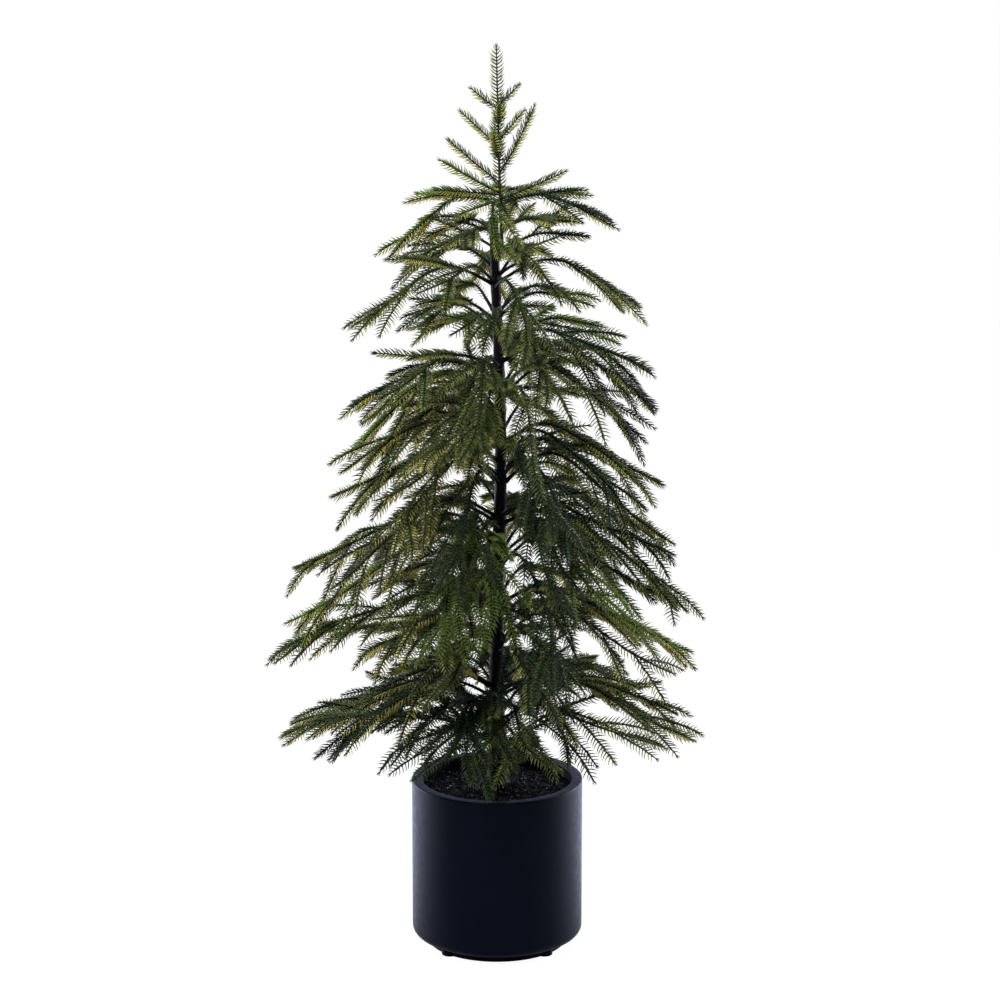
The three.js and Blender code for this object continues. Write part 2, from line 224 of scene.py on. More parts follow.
class MaterialSheet:
    """A material with its Principled shader, ready for groups to be placed in it."""

    def __init__(self, name: str) -> None:
        """Start the material.

        Args:
            name: The material's name.
        """
        self.material = bpy.data.materials.new(name)
        self.material.use_nodes = True
        self.tree = self.material.node_tree
        self.shader = self.tree.nodes["Principled BSDF"]

    def group(self, tree: bpy.types.NodeTree, **values: object) -> bpy.types.Node:
        """Place a node group and set its inputs.

        Args:
            tree: The group's node tree.
            **values: Input names and their values.

        Returns:
            The group node.
        """
        node = self.tree.nodes.new("ShaderNodeGroup")
        node.node_tree = tree
        for name, value in values.items():
            node.inputs[name].default_value = value
        return node

    def link(self, start: bpy.types.NodeSocket, end: bpy.types.NodeSocket) -> None:
        """Join an output socket to an input socket."""
        self.tree.links.new(start, end)

    def relief(self, height: bpy.types.NodeSocket, depth: float, strength: float) -> None:
        """Give the surface a fine relief through a Bump node.

        Args:
            height: The socket that gives the relief, from 0 to 1.
            depth: The relief's depth in metres.
            strength: The share of the relief that is shown.
        """
        bump = self.tree.nodes.new("ShaderNodeBump")
        bump.inputs["Distance"].default_value = depth
        bump.inputs["Strength"].default_value = strength
        self.link(height, bump.inputs["Height"])
        self.link(bump.outputs["Normal"], self.shader.inputs["Normal"])


@dataclass(frozen=True)
class MouldedFinish:
    """A dull moulded, woody or gritty surface in two mottled tones over a fine grain.

    Attributes:
        name: The material's name.
        first: The first tone.
        second: The second tone.
        smooth: The roughness of the first tone.
        rough: The roughness of the second tone.
        scale: The grain's scale, in grains for each metre.
        stretch: How far the grain is drawn out along each axis.
        depth: The grain's depth in metres.
        strength: The share of the grain that is shown.
        gloss: The shader's specular level.
        tint: The colour of its reflections.
    """

    name: str
    first: Colour
    second: Colour
    smooth: float
    rough: float
    scale: float
    stretch: tuple[float, float, float] = (1.0, 1.0, 1.0)
    depth: float = 0.2 * MM
    strength: float = 0.4
    gloss: float = 0.5
    tint: Colour = (1.0, 1.0, 1.0, 1.0)

    def material(self, stock: ShaderStock) -> bpy.types.Material:
        """Build the material.

        Args:
            stock: The shared node groups.

        Returns:
            The finished material.
        """
        sheet = MaterialSheet(self.name)
        speckle = sheet.group(stock.speckle, Scale=self.scale, Stretch=self.stretch)
        tones = sheet.group(
            stock.two_tone, First=self.first, Second=self.second, Smooth=self.smooth, Rough=self.rough
        )
        sheet.link(speckle.outputs["Mask"], tones.inputs["Mask"])
        sheet.link(tones.outputs["Colour"], sheet.shader.inputs["Base Color"])
        sheet.link(tones.outputs["Roughness"], sheet.shader.inputs["Roughness"])
        sheet.relief(speckle.outputs["Height"], self.depth, self.strength)
        sheet.shader.inputs["Specular IOR Level"].default_value = self.gloss
        sheet.shader.inputs["Specular Tint"].default_value = self.tint
        return sheet.material


@dataclass(frozen=True)
class NeedleFinish:
    """Soft moulded needles in one plain colour, dealt out spray by spray.

    Attributes:
        tone: The tone that this finish gives.
        colour: The needle's base colour.
        roughness: The needle's roughness.
        gloss: The shader's specular level.
    """

    tone: Tone
    colour: Colour
    roughness: float = 0.55
    gloss: float = 0.15

    def material(self) -> bpy.types.Material:
        """Build the material."""
        sheet = MaterialSheet(f"needles_{self.tone.value}")
        sheet.shader.inputs["Base Color"].default_value = self.colour
        sheet.shader.inputs["Roughness"].default_value = self.roughness
        sheet.shader.inputs["Specular IOR Level"].default_value = self.gloss
        return sheet.material


POT_FINISH = MouldedFinish(
    "pot_plastic", (0.0010, 0.0020, 0.0090, 1.0), (0.0016, 0.0028, 0.0108, 1.0),
    smooth=0.40, rough=0.48, scale=900.0, depth=0.12 * MM, strength=0.25, gloss=0.12,
    tint=(0.70, 0.78, 1.0, 1.0),
)
GRIT_FINISH = MouldedFinish(
    "potting_grit", (0.0008, 0.0008, 0.0018, 1.0), (0.0030, 0.0029, 0.0046, 1.0),
    smooth=0.4, rough=0.8, scale=700.0, depth=0.6 * MM, strength=0.7, gloss=0.04,
    tint=(0.75, 0.78, 1.0, 1.0),
)
FIBRE_FINISH = MouldedFinish(
    "grit_fibre", (0.006, 0.006, 0.010, 1.0), (0.030, 0.030, 0.042, 1.0),
    smooth=0.25, rough=0.5, scale=900.0, depth=0.1 * MM, strength=0.3, gloss=0.6,
    tint=(0.85, 0.87, 1.0, 1.0),
)
BARK_FINISH = MouldedFinish(
    "wound_bark", (0.0034, 0.0018, 0.0042, 1.0), (0.0095, 0.0056, 0.0092, 1.0),
    smooth=0.45, rough=0.7, scale=420.0, stretch=(1.0, 1.0, 0.3), depth=0.7 * MM, strength=0.7,
    gloss=0.2, tint=(0.9, 0.8, 1.0, 1.0),
)
TWIG_FINISH = MouldedFinish(
    "twig_plastic", (0.012, 0.020, 0.006, 1.0), (0.022, 0.030, 0.009, 1.0),
    smooth=0.55, rough=0.75, scale=600.0, depth=0.3 * MM, strength=0.4, gloss=0.15,
)
NEEDLE_FINISHES = (
    NeedleFinish(Tone.FRESH, (0.122, 0.190, 0.040, 1.0)),
    NeedleFinish(Tone.LEAF, (0.072, 0.098, 0.033, 1.0)),
    NeedleFinish(Tone.BLUE, (0.026, 0.048, 0.025, 1.0)),
    NeedleFinish(Tone.SHADE, (0.048, 0.046, 0.048, 1.0)),
    NeedleFinish(Tone.OLIVE, (0.370, 0.360, 0.095, 1.0)),
    NeedleFinish(Tone.STRAW, (0.520, 0.460, 0.135, 1.0)),
    NeedleFinish(Tone.MOSS, (0.205, 0.235, 0.065, 1.0)),
)


# ---- meshes --------------------------------------------------------------------------------


class MeshGather:
    """Points and faces gathered from many shapes, to be joined into one mesh."""

    def __init__(self) -> None:
        """Start with nothing gathered."""
        self.points: list[np.ndarray] = []
        self.faces: list[np.ndarray] = []
        self.count = 0

    def add(self, points: np.ndarray, faces: Iterable[np.ndarray]) -> None:
        """Gather one shape.

        Args:
            points: Its corner points, one row each.
            faces: Arrays of corner indices, one row for each face.
        """
        self.faces += [np.asarray(block, np.int64) + self.count for block in faces if len(block)]
        self.points.append(np.asarray(points, float))
        self.count += len(points)

    def triangles(self) -> int:
        """Count the triangles that the faces come to."""
        return sum(len(block) * (block.shape[1] - 2) for block in self.faces)

    def build(self, name: str, smooth: bool = True) -> bpy.types.Object:
        """Make the mesh and its object.

        Args:
            name: The object's name.
            smooth: Whether its faces are shaded smooth.

        Returns:
            The new object, linked to the scene.
        """
        mesh = bpy.data.meshes.new(name)
        points = np.concatenate(self.points)
        corners = np.concatenate([block.ravel() for block in self.faces])
        sizes = np.concatenate([np.full(len(b), b.shape[1]) for b in self.faces])
        starts = np.concatenate([[0], np.cumsum(sizes)[:-1]])
        mesh.vertices.add(len(points))
        mesh.vertices.foreach_set("co", points.astype(np.float32).ravel())
        mesh.loops.add(len(corners))
        mesh.loops.foreach_set("vertex_index", corners.astype(np.int32))
        mesh.polygons.add(len(sizes))
        mesh.polygons.foreach_set("loop_start", starts.astype(np.int32))
        mesh.polygons.foreach_set("use_smooth", np.full(len(sizes), smooth))
        mesh.update(calc_edges=True)
        made = bpy.data.objects.new(name, mesh)
        bpy.context.scene.collection.objects.link(made)
        return made


def dress(
    piece: bpy.types.Object, material: bpy.types.Material, replaced: Sequence[str] = ()
) -> bpy.types.Object:
    """Give a piece its material, its body and the nodes it stands for.

    Args:
        piece: The piece.
        material: Its material.
        replaced: The frame's nodes that it stands for.

    Returns:
        The piece.
    """
    piece.data.materials.append(material)
    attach(piece, BODY)
    if replaced:
        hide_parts(*replaced)
    LOG.info("%s: %d faces", piece.name, len(piece.data.polygons))
    return piece


def ring_faces(rings: int, sides: int) -> np.ndarray:
    """Give the quads between successive rings of points.

    Args:
        rings: The number of rings.
        sides: The number of points in each ring.

    Returns:
        One row of four corner indices for each quad.
    """
    ring, side = np.meshgrid(np.arange(rings - 1), np.arange(sides), indexing="ij")
    near = (ring * sides + side).ravel()
    near_next = (ring * sides + (side + 1) % sides).ravel()
    return np.stack([near, near_next, near_next + sides, near + sides], axis=1)


def turned(profile: Sequence[tuple[float, float]], segments: int) -> tuple[np.ndarray, list[np.ndarray]]:
    """Turn a profile about the Z axis into a closed shape.

    Args:
        profile: Pairs of radius and height, starting and ending on the axis.
        segments: The number of segments round the axis.

    Returns:
        The points and the blocks of faces.
    """
    between = np.array(profile[1:-1])
    turn = 2 * np.pi * np.arange(segments) / segments
    rings = np.empty((len(between), segments, 3))
    rings[:, :, 0] = between[:, :1] * np.cos(turn)
    rings[:, :, 1] = between[:, :1] * np.sin(turn)
    rings[:, :, 2] = between[:, 1:]
    points = np.concatenate([rings.reshape(-1, 3), [(0, 0, profile[0][1]), (0, 0, profile[-1][1])]])
    first = np.arange(segments)
    last = first + (len(between) - 1) * segments
    foot = np.full(segments, len(points) - 2)
    top = np.full(segments, len(points) - 1)
    caps = np.concatenate(
        [np.stack([foot, np.roll(first, -1), first], 1), np.stack([top, last, np.roll(last, -1)], 1)]
    )
    return points, [ring_faces(len(between), segments), caps]


def arc(centre: tuple[float, float], radius: float, start: float, end: float, steps: int) -> list:
    """Give the points of an arc in a profile.

    Args:
        centre: The radius and height of its centre.
        radius: Its radius.
        start: Its first angle in degrees.
        end: Its last angle in degrees.
        steps: The number of steps.

    Returns:
        Pairs of radius and height.
    """
    turns = np.radians(np.linspace(start, end, steps + 1))
    return [(centre[0] + radius * math.cos(t), centre[1] + radius * math.sin(t)) for t in turns]


def unit(vectors: np.ndarray) -> np.ndarray:
    """Scale each row to length 1."""
    return vectors / np.maximum(np.linalg.norm(vectors, axis=-1, keepdims=True), 1e-12)


def node_points(name: str) -> np.ndarray:
    """Read the corner points of one of the frame's nodes, each once.

    Args:
        name: The node's name.

    Returns:
        One row for each point.
    """
    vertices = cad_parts[name].data.vertices
    points = np.empty(3 * len(vertices), np.float32)
    vertices.foreach_get("co", points)
    return np.unique(points.reshape(-1, 3).astype(float).round(6), axis=0)


# ---- shoots --------------------------------------------------------------------------------


@dataclass
class Shoot:
    """One stem with its needles: a bough's axis, a side sprig or the leader.

    Attributes:
        points: The places along its middle, one row each.
        up: The direction that its upper rows of needles keep to, at its foot.
        foot_radius: The stem's radius at its foot.
        tip_radius: The stem's radius at its tip.
        bare: The length at its foot that has no needles.
        upper: The tone of its upper rows of needles.
        lower: The tone of its lower rows of needles.
        needle_share: The size of its needles against the usual size.
        closeness: How much closer together they stand than usual.
        growth: The length at its foot over which needles grow to full size, all in its upper tone, which on a
            bough is painted shade near the trunk.
        small: The size of the first needles against the full size.
    """

    points: np.ndarray
    up: np.ndarray
    foot_radius: float
    tip_radius: float
    bare: float
    upper: Tone
    lower: Tone
    needle_share: float = 1.0
    closeness: float = 1.0
    growth: float = 10 * MM
    small: float = 0.62
    along: np.ndarray = field(init=False)
    tangents: np.ndarray = field(init=False)
    ups: np.ndarray = field(init=False)

    def __post_init__(self) -> None:
        """Work out the distance along the shoot and the directions at each of its points."""
        steps = np.linalg.norm(np.diff(self.points, axis=0), axis=1)
        self.along = np.concatenate([[0.0], np.cumsum(steps)])
        self.tangents = unit(np.gradient(self.points, self.along, axis=0))
        self.ups = np.empty_like(self.points)
        up = np.asarray(self.up, float)
        for i, tangent in enumerate(self.tangents):
            up = unit(up - np.dot(up, tangent) * tangent)
            self.ups[i] = up

    @property
    def length(self) -> float:
        """Give the shoot's length."""
        return float(self.along[-1])

    def at(self, where: np.ndarray) -> tuple[np.ndarray, np.ndarray, np.ndarray]:
        """Give the place, tangent and up direction at some distances along the shoot.

        Args:
            where: The distances along the shoot.

        Returns:
            Three arrays with one row for each distance.
        """

        def read(rows: np.ndarray) -> np.ndarray:
            """Interpolate rows of three values."""
            return np.stack([np.interp(where, self.along, rows[:, k]) for k in range(3)], axis=-1)

        tangent = unit(read(self.tangents))
        up = read(self.ups)
        up = unit(up - np.sum(up * tangent, axis=-1, keepdims=True) * tangent)
        return read(self.points), tangent, up

    def radius_at(self, where: np.ndarray) -> np.ndarray:
        """Give the stem's radius at some distances along the shoot."""
        share = np.clip(where / self.length, 0.0, 1.0)
        return self.foot_radius + (self.tip_radius - self.foot_radius) * share**0.7


def add_stem(gather: MeshGather, shoot: Shoot) -> None:
    """Gather a shoot's stem as a tapered tube that is closed at both ends.

    Args:
        gather: What the stem is added to.
        shoot: The shoot.
    """
    sides = 6 if shoot.foot_radius > THICK_STEM else 4
    across = np.cross(shoot.tangents, shoot.ups)
    turn = 2 * np.pi * np.arange(sides) / sides
    radii = shoot.radius_at(shoot.along)
    outward = (
        across[:, None, :] * np.cos(turn)[None, :, None]
        + shoot.ups[:, None, :] * np.sin(turn)[None, :, None]
    )
    rings = shoot.points[:, None, :] + outward * radii[:, None, None]
    tip = shoot.points[-1] + shoot.tangents[-1] * 1.5 * shoot.tip_radius
    points = np.concatenate([rings.reshape(-1, 3), [shoot.points[0], tip]])
    first = np.arange(sides)
    last = first + (len(rings) - 1) * sides
    foot = np.full(sides, len(points) - 2)
    end = np.full(sides, len(points) - 1)
    caps = np.concatenate(
        [np.stack([foot, np.roll(first, -1), first], 1), np.stack([end, last, np.roll(last, -1)], 1)]
    )
    gather.add(points, [ring_faces(len(rings), sides), caps])


@dataclass(frozen=True)
class NeedleRule:
    """How needles are shaped and set along a stem, in five rows round it.

    Attributes:
        length: A full needle's length.
        width: Its width.
        thickness: Its thickness against its width.
        waist: The share of its length at which it bends and begins to taper.
        start_lean: The angle from the stem at which it leaves, in degrees.
        end_lean: The angle from the stem at its tip, in degrees.
        spacing: The distance between needles in a row.
        upper_turn: The angle of the upper rows from straight up, in degrees.
        lower_turn: The angle of the lower rows from straight up, in degrees.
        rough_turn: How far a needle may stray from its row, in degrees.
        crest_share: The size of the row of needles on top of the stem.
        crest_tilt: How much further forward that row lies, in degrees.
        tapering: The length over which needles shrink towards the shoot's tip.
        tuft: The number of small needles at the very tip.
    """

    length: float = 14.0 * MM
    width: float = 2.0 * MM
    thickness: float = 0.85
    waist: float = 0.5
    start_lean: float = 60.0
    end_lean: float = 47.0
    spacing: float = 4.9 * MM
    upper_turn: float = 56.0
    lower_turn: float = 122.0
    rough_turn: float = 4.0
    crest_share: float = 0.5
    crest_tilt: float = 32.0
    tapering: float = 15 * MM
    tuft: int = 5

    def template(self) -> tuple[np.ndarray, np.ndarray]:
        """Build one needle: a closed, three-sided awl that bends towards the shoot's tip.

        Returns:
            Its points as distances along the stem, away from the stem and across, and its
            triangles.
        """
        start, end = math.radians(self.start_lean), math.radians(self.end_lean)
        waist = self.length * self.waist * np.array([math.cos(start), math.sin(start), 0.0])
        rest = self.length * (1.0 - self.waist)
        tip = waist + rest * np.array([math.cos(end), math.sin(end), 0.0])
        half = np.array([0.0, 0.0, self.width / 2])
        points = []
        for middle, lean in ((np.zeros(3), start), (waist, (start + end) / 2)):
            back = np.array([-math.sin(lean), math.cos(lean), 0.0]) * self.thickness * self.width / 2
            points += [middle - back, middle + half + back / 2, middle - half + back / 2]
        quads = ring_faces(2, 3)
        ends = [[0, 2, 1], [3, 4, 6], [4, 5, 6], [5, 3, 6]]
        triangles = np.concatenate([quads[:, [0, 1, 2]], quads[:, [0, 2, 3]], ends])
        return np.array([*points, tip]), triangles

    def set_rows(
        self, shoot: Shoot, turns: Sequence[float], rng: np.random.Generator,
        share: float = 1.0, forward: float = 0.0, phase: float = 0.25,
    ) -> np.ndarray:
        """Set some rows of needles on a shoot.

        Args:
            shoot: The shoot.
            turns: The rows' angles from straight up, in degrees.
            rng: The source of the small differences between needles.
            share: The needles' size against the shoot's others.
            forward: How much further forward they lie, in degrees.
            phase: The first needle's distance from the bare foot, in spacings.

        Returns:
            One row for each needle: its foot, the stem's direction, the direction away from the
            stem, its size and its forward tilt in radians.
        """
        rows = [np.empty((0, 11))]
        spacing = self.spacing / shoot.closeness
        for turn in turns:
            count = int((shoot.length - shoot.bare) / spacing)
            where = shoot.bare + (np.arange(count) + phase) * spacing
            where = where + rng.normal(0.0, 0.06 * spacing, count)
            where = where[(where > 0) & (where < shoot.length - 1 * MM)]
            angle = np.radians(turn + rng.normal(0.0, self.rough_turn, len(where)))
            to_tip = np.clip((shoot.length - where) / self.tapering, 0.0, 1.0)
            grown = np.clip((where - shoot.bare) / shoot.growth, 0.0, 1.0)
            size = shoot.small + (1.0 - shoot.small) * grown
            size *= (0.5 + 0.5 * to_tip) * shoot.needle_share * rng.normal(share, 0.06, len(where))
            tilt = np.radians(forward + 26.0 * (1 - to_tip) + rng.normal(0.0, 4.0, len(where)))
            rows.append(self.pose(shoot, where, angle, size, tilt))
        return np.concatenate(rows)

    def pose(
        self, shoot: Shoot, where: np.ndarray, angle: np.ndarray, size: np.ndarray, tilt: np.ndarray
    ) -> np.ndarray:
        """Turn needles' places on a shoot into places and directions in the frame.

        Args:
            shoot: The shoot.
            where: The needles' distances along it.
            angle: Their angles round the stem from straight up, in radians.
            size: Their sizes.
            tilt: Their forward tilts in radians.

        Returns:
            One row of eleven values for each needle.
        """
        place, tangent, up = shoot.at(where)
        across = np.cross(tangent, up)
        outward = up * np.cos(angle)[:, None] + across * np.sin(angle)[:, None]
        foot = place + outward * 0.5 * shoot.radius_at(where)[:, None]
        return np.column_stack([foot, tangent, outward, size, tilt])

    def set_tuft(self, shoot: Shoot, rng: np.random.Generator) -> np.ndarray:
        """Set the small needles that close a shoot's tip.

        Args:
            shoot: The shoot.
            rng: The source of the differences between needles.

        Returns:
            One row of eleven values for each needle.
        """
        where = shoot.length - rng.uniform(0.0, 2 * MM, self.tuft)
        angle = 2 * np.pi * (np.arange(self.tuft) + rng.uniform()) / self.tuft
        size = np.full(self.tuft, 0.55 * shoot.needle_share)
        tilt = np.radians(rng.uniform(32.0, 44.0, self.tuft))
        return self.pose(shoot, where, angle, size, tilt)

    def add_needles(self, gather: MeshGather, rows: np.ndarray) -> None:
        """Gather the needles that the rows describe.

        Args:
            gather: What the needles are added to.
            rows: One row of eleven values for each needle.
        """
        shape, triangles = self.template()
        foot, tangent, outward = rows[:, 0:3], rows[:, 3:6], rows[:, 6:9]
        size, tilt = rows[:, 9, None], rows[:, 10, None]
        across = np.cross(tangent, outward)
        ahead = shape[:, 0] * np.cos(tilt) + shape[:, 1] * np.sin(tilt)
        away = shape[:, 1] * np.cos(tilt) - shape[:, 0] * np.sin(tilt)
        points = foot[:, None, :] + (
            (ahead * size)[:, :, None] * tangent[:, None, :]
            + (away * size)[:, :, None] * outward[:, None, :]
            + (shape[:, 2] * size)[:, :, None] * across[:, None, :]
        )
        offsets = np.arange(len(rows))[:, None, None] * len(shape)
        gather.add(points.reshape(-1, 3), [(triangles[None] + offsets).reshape(-1, 3)])


# ---- limbs of the frame --------------------------------------------------------------------


@dataclass(frozen=True)
class LimbPlan:
    """The course of a bough, read from the frame's limb and its mass of foliage.

    Attributes:
        node: The name of the mass of foliage.
        whorl: The whorl's number, from 1 at the top.
        side: The side of the trunk.
        axis_x: The sideways place of the axis that the bough grows from.
        height: The height at which it leaves that axis.
        rise: Its slope there.
        reach: How far its tip stands from the axis.
        drop: How far its tip hangs below the joint.
        azimuth: Its direction, in radians from +X.
        power: How sharply it bends down towards its tip.
    """

    node: str
    whorl: int
    side: Side
    axis_x: float
    height: float
    rise: float
    reach: float
    drop: float
    azimuth: float
    power: float = 2.2

    def height_at(self, distance: np.ndarray) -> np.ndarray:
        """Give the bough's height at some distances from its axis."""
        fall = (self.rise * self.reach + self.drop) * (distance / self.reach) ** self.power
        return self.height + self.rise * distance - fall

    def arched(self, distance: np.ndarray, begin: float, end: float) -> np.ndarray:
        """Give the heights of a bough that rises, arches over and runs on straight to its tip.

        Args:
            distance: The distances from its axis.
            begin: The distance at which it begins to arch over.
            end: The distance from which it runs straight.

        Returns:
            The heights.
        """
        share = np.clip((distance - begin) / (end - begin), 0.0, 1.0)
        turned = (end - begin) * (share**3 - share**4 / 2) + np.clip(distance - end, 0.0, None)
        full = (end - begin) / 2 + self.reach - end
        return self.height + self.rise * distance - (self.rise * self.reach + self.drop) * turned / full


class FrameReader:
    """Reads the courses of the trunk and the limbs from the frame's nodes."""

    top_rise = 0.46
    end_band = 1.0 * MM
    limb_sides = 6

    def __init__(self) -> None:
        """Read the trunk's centres and radii, level by level."""
        points = node_points("trunk")
        points = points[points[:, 2].argsort()]
        gaps = np.flatnonzero(np.diff(points[:, 2]) > self.end_band) + 1
        rings = np.split(points, gaps)
        self.levels = np.array([ring[:, 2].mean() for ring in rings])
        self.centres = np.array([(r[:, 0].max() + r[:, 0].min()) / 2 for r in rings])
        self.radii = np.array([(r[:, 0].max() - r[:, 0].min()) / 2 for r in rings])
        stem = node_points("leader_stem")
        self.leader_x = float(stem[stem[:, 2] > stem[:, 2].max() - self.end_band, 0].mean())

    def trunk_x(self, z: float) -> float:
        """Give the trunk's sideways place at a height."""
        return float(np.interp(z, self.levels, self.centres))

    def trunk_radius(self, z: float) -> float:
        """Give the trunk's radius at a height."""
        return float(np.interp(z, self.levels, self.radii))

    def plan(self, whorl: int, side: Side) -> LimbPlan:
        """Read one bough's course.

        Args:
            whorl: The whorl's number.
            side: The side of the trunk.

        Returns:
            The bough's plan.
        """
        node = f"foliage_{whorl}_{side.value}"
        mass = node_points(node)
        limb = mass if whorl == 1 else node_points(f"bough_{whorl}_{side.value}")
        axis_x = self.leader_x if whorl == 1 else self.trunk_x(limb[:, 2].min())
        outward = np.hypot(mass[:, 0] - axis_x, mass[:, 1])
        tip = mass[outward.argmax()]
        azimuth = math.atan2(tip[1], tip[0] - axis_x)
        reach = float(outward.max())
        plan = LimbPlan(node, whorl, side, axis_x, 0.0, self.top_rise, reach, 0.0, azimuth)
        along = (limb[:, 0] - axis_x) * math.cos(azimuth) + limb[:, 1] * math.sin(azimuth)
        if whorl == 1:
            hub = along < along.min() + self.end_band
            height = limb[hub, 2].mean() - self.top_rise * along[hub].mean()
            return replace(plan, height=height, drop=height - tip[2])
        # Two rings of the limb give its height and slope where it leaves the trunk: the outer
        # one, which also has a point in its middle, and the one before it.
        outer = self.limb_sides + 1
        order = along.argsort()
        rings = (order[-outer:], order[-outer - self.limb_sides : -outer])
        ends = [along[ring].mean() for ring in rings]
        heights = [limb[ring, 2].mean() for ring in rings]
        bends = [(d / reach) ** plan.power for d in ends]
        table = np.array([[1 - q, d - reach * q] for d, q in zip(ends, bends)])
        height, rise = np.linalg.solve(table, [z - tip[2] * q for z, q in zip(heights, bends)])
        return replace(plan, height=float(height), rise=float(rise), drop=float(height - tip[2]))


# ---- the branching rule --------------------------------------------------------------------


@dataclass(frozen=True)
class Companion:
    """A bough that stands beside a limb of the frame and shares its mass of foliage.

    Attributes:
        turn: Its direction from the limb's, in degrees.
        lift: Its joint's height above the limb's.
        reach: Its reach against the limb's.
        tip: Its tip's height above the limb's own curve.
        steepness: Its slope at the joint against the limb's.
        tones: Its own tones, for a fan that may stand straight ahead and before any opening.
    """

    turn: float
    lift: float
    reach: float
    tip: float
    steepness: float = 1.0
    tones: tuple[Tone, Tone] | None = None


TOP_WHORL = (
    Companion(0.0, 0.0, 1.0, 0.0, 0.8),
    Companion(-32.0, -36 * MM, 0.88, -16 * MM, 1.0),
    Companion(14.0, -60 * MM, 0.86, -44 * MM, 1.3),
)
OPEN_WHORL = (
    Companion(0.0, 0.0, 1.0, 0.0),
    Companion(43.0, 10 * MM, 0.76, 12 * MM, 1.2),
    Companion(-22.0, -54 * MM, 0.66, -46 * MM, 1.5),
    Companion(21.0, -46 * MM, 0.62, -40 * MM, 1.4),
)
HANGING_WHORL = (
    Companion(0.0, 0.0, 1.0, 0.0),
    Companion(43.0, 12 * MM, 0.86, 24 * MM, 1.2),
    Companion(-22.0, -42 * MM, 0.80, -50 * MM, 1.5),
    Companion(21.0, -54 * MM, 0.88, -88 * MM, 1.6),
)
FULL_WHORL = (
    Companion(0.0, 0.0, 1.0, 16 * MM),
    Companion(43.0, 12 * MM, 0.90, 16 * MM, 1.2),
    Companion(-22.0, -54 * MM, 1.0, -50 * MM, 1.6),
    Companion(21.0, -42 * MM, 0.90, -40 * MM, 1.5),
)
WIDE_WHORL = (
    Companion(0.0, 0.0, 1.0, 0.0),
    Companion(43.0, 12 * MM, 0.90, 6 * MM, 1.2),
    Companion(-22.0, -42 * MM, 0.92, -46 * MM, 1.5),
    Companion(21.0, -54 * MM, 0.96, -58 * MM, 1.6),
)
LOWER_WHORL = (
    Companion(0.0, 0.0, 1.0, 14 * MM),
    Companion(43.0, 10 * MM, 0.78, 16 * MM, 1.2),
    Companion(-22.0, -54 * MM, 0.86, -18 * MM, 1.6),
    Companion(21.0, -46 * MM, 0.74, -22 * MM, 1.5),
)
LOWEST_WHORL = (
    Companion(0.0, 0.0, 1.0, 18 * MM),
    Companion(12.0, -14 * MM, 0.90, 10 * MM, 1.1),
    Companion(43.0, 8 * MM, 0.85, 8 * MM, 1.2),
    Companion(-23.0, -44 * MM, 0.90, -4 * MM, 1.3),
    Companion(26.0, -84 * MM, 0.80, 8 * MM, 1.4),
)
COMPANIONS = (
    TOP_WHORL, OPEN_WHORL, HANGING_WHORL, FULL_WHORL, WIDE_WHORL, LOWER_WHORL, LOWEST_WHORL,
)
# Extra boughs for some masses, some with their own tones; the dark blue tones of the fans low at the front are
# painted shade.
FANS = {
    (Side.FRONT, 2): (Companion(-14.0, -36 * MM, 0.72, -62 * MM, 1.1, (Tone.LEAF, Tone.MOSS)),),
    (Side.FRONT, 3): (Companion(13.0, -22 * MM, 0.70, -60 * MM, 1.1, (Tone.FRESH, Tone.MOSS)),),
    (Side.FRONT, 5): (
        Companion(-14.0, -22 * MM, 0.88, -54 * MM, 1.2, (Tone.FRESH, Tone.FRESH)),
        Companion(8.0, -26 * MM, 0.84, -60 * MM, 1.2, (Tone.FRESH, Tone.FRESH)),
    ),
    (Side.FRONT, 6): (Companion(9.0, -52 * MM, 0.72, -50 * MM, 1.0, (Tone.BLUE, Tone.BLUE)),),
    (Side.FRONT, 7): (
        Companion(8.0, -40 * MM, 0.60, -34 * MM, 1.3, (Tone.LEAF, Tone.LEAF)),
        Companion(31.0, -10 * MM, 0.88, 6 * MM, 1.1, (Tone.LEAF, Tone.MOSS)),
        Companion(-46.0, -24 * MM, 0.90, 10 * MM, 1.2, (Tone.BLUE, Tone.LEAF)),
    ),
    (Side.LEFT, 3): (Companion(11.0, -20 * MM, 1.0, -58 * MM, 1.5),),
    (Side.LEFT, 4): (Companion(24.0, -34 * MM, 0.92, -84 * MM, 1.4),),
    (Side.LEFT, 7): (Companion(14.0, -30 * MM, 0.82, -46 * MM, 1.3),),
    (Side.RIGHT, 3): (Companion(-12.0, 14 * MM, 0.95, 30 * MM, 1.15),),
    (Side.RIGHT, 5): (Companion(-9.0, 16 * MM, 0.94, 30 * MM, 1.2),),
}


@dataclass(frozen=True)
class Opening:
    """A place that stays open between the sprays in the view from the front.

    Attributes:
        x: The sideways place of its middle, where that view crosses the trunk's plane.
        z: The height of its middle there.
        half_width: Half its width.
        half_height: Half its height.
        shows_trunk: Whether the trunk shows in it, so that only what stands before it is left off.
        most: The most of a shoot that may stand in it.
    """

    x: float
    z: float
    half_width: float
    half_height: float
    shows_trunk: bool = False
    most: float = 0.2

    def crossed(self, shoot: Shoot, view: tuple[float, float]) -> bool:
        """Tell whether a shoot crosses the opening.

        Args:
            shoot: The shoot.
            view: The distance and the height that the tree is looked at from.

        Returns:
            Whether enough of the shoot stands in the opening.
        """
        distance, height = view
        nearer = distance / (distance + shoot.points[:, 1])
        x = shoot.points[:, 0] * nearer
        z = height + (shoot.points[:, 2] - height) * nearer
        inside = ((x - self.x) / self.half_width) ** 2 + ((z - self.z) / self.half_height) ** 2 < 1.0
        if self.shows_trunk:
            inside &= shoot.points[:, 1] < 0.0
        return float(inside.mean()) > self.most


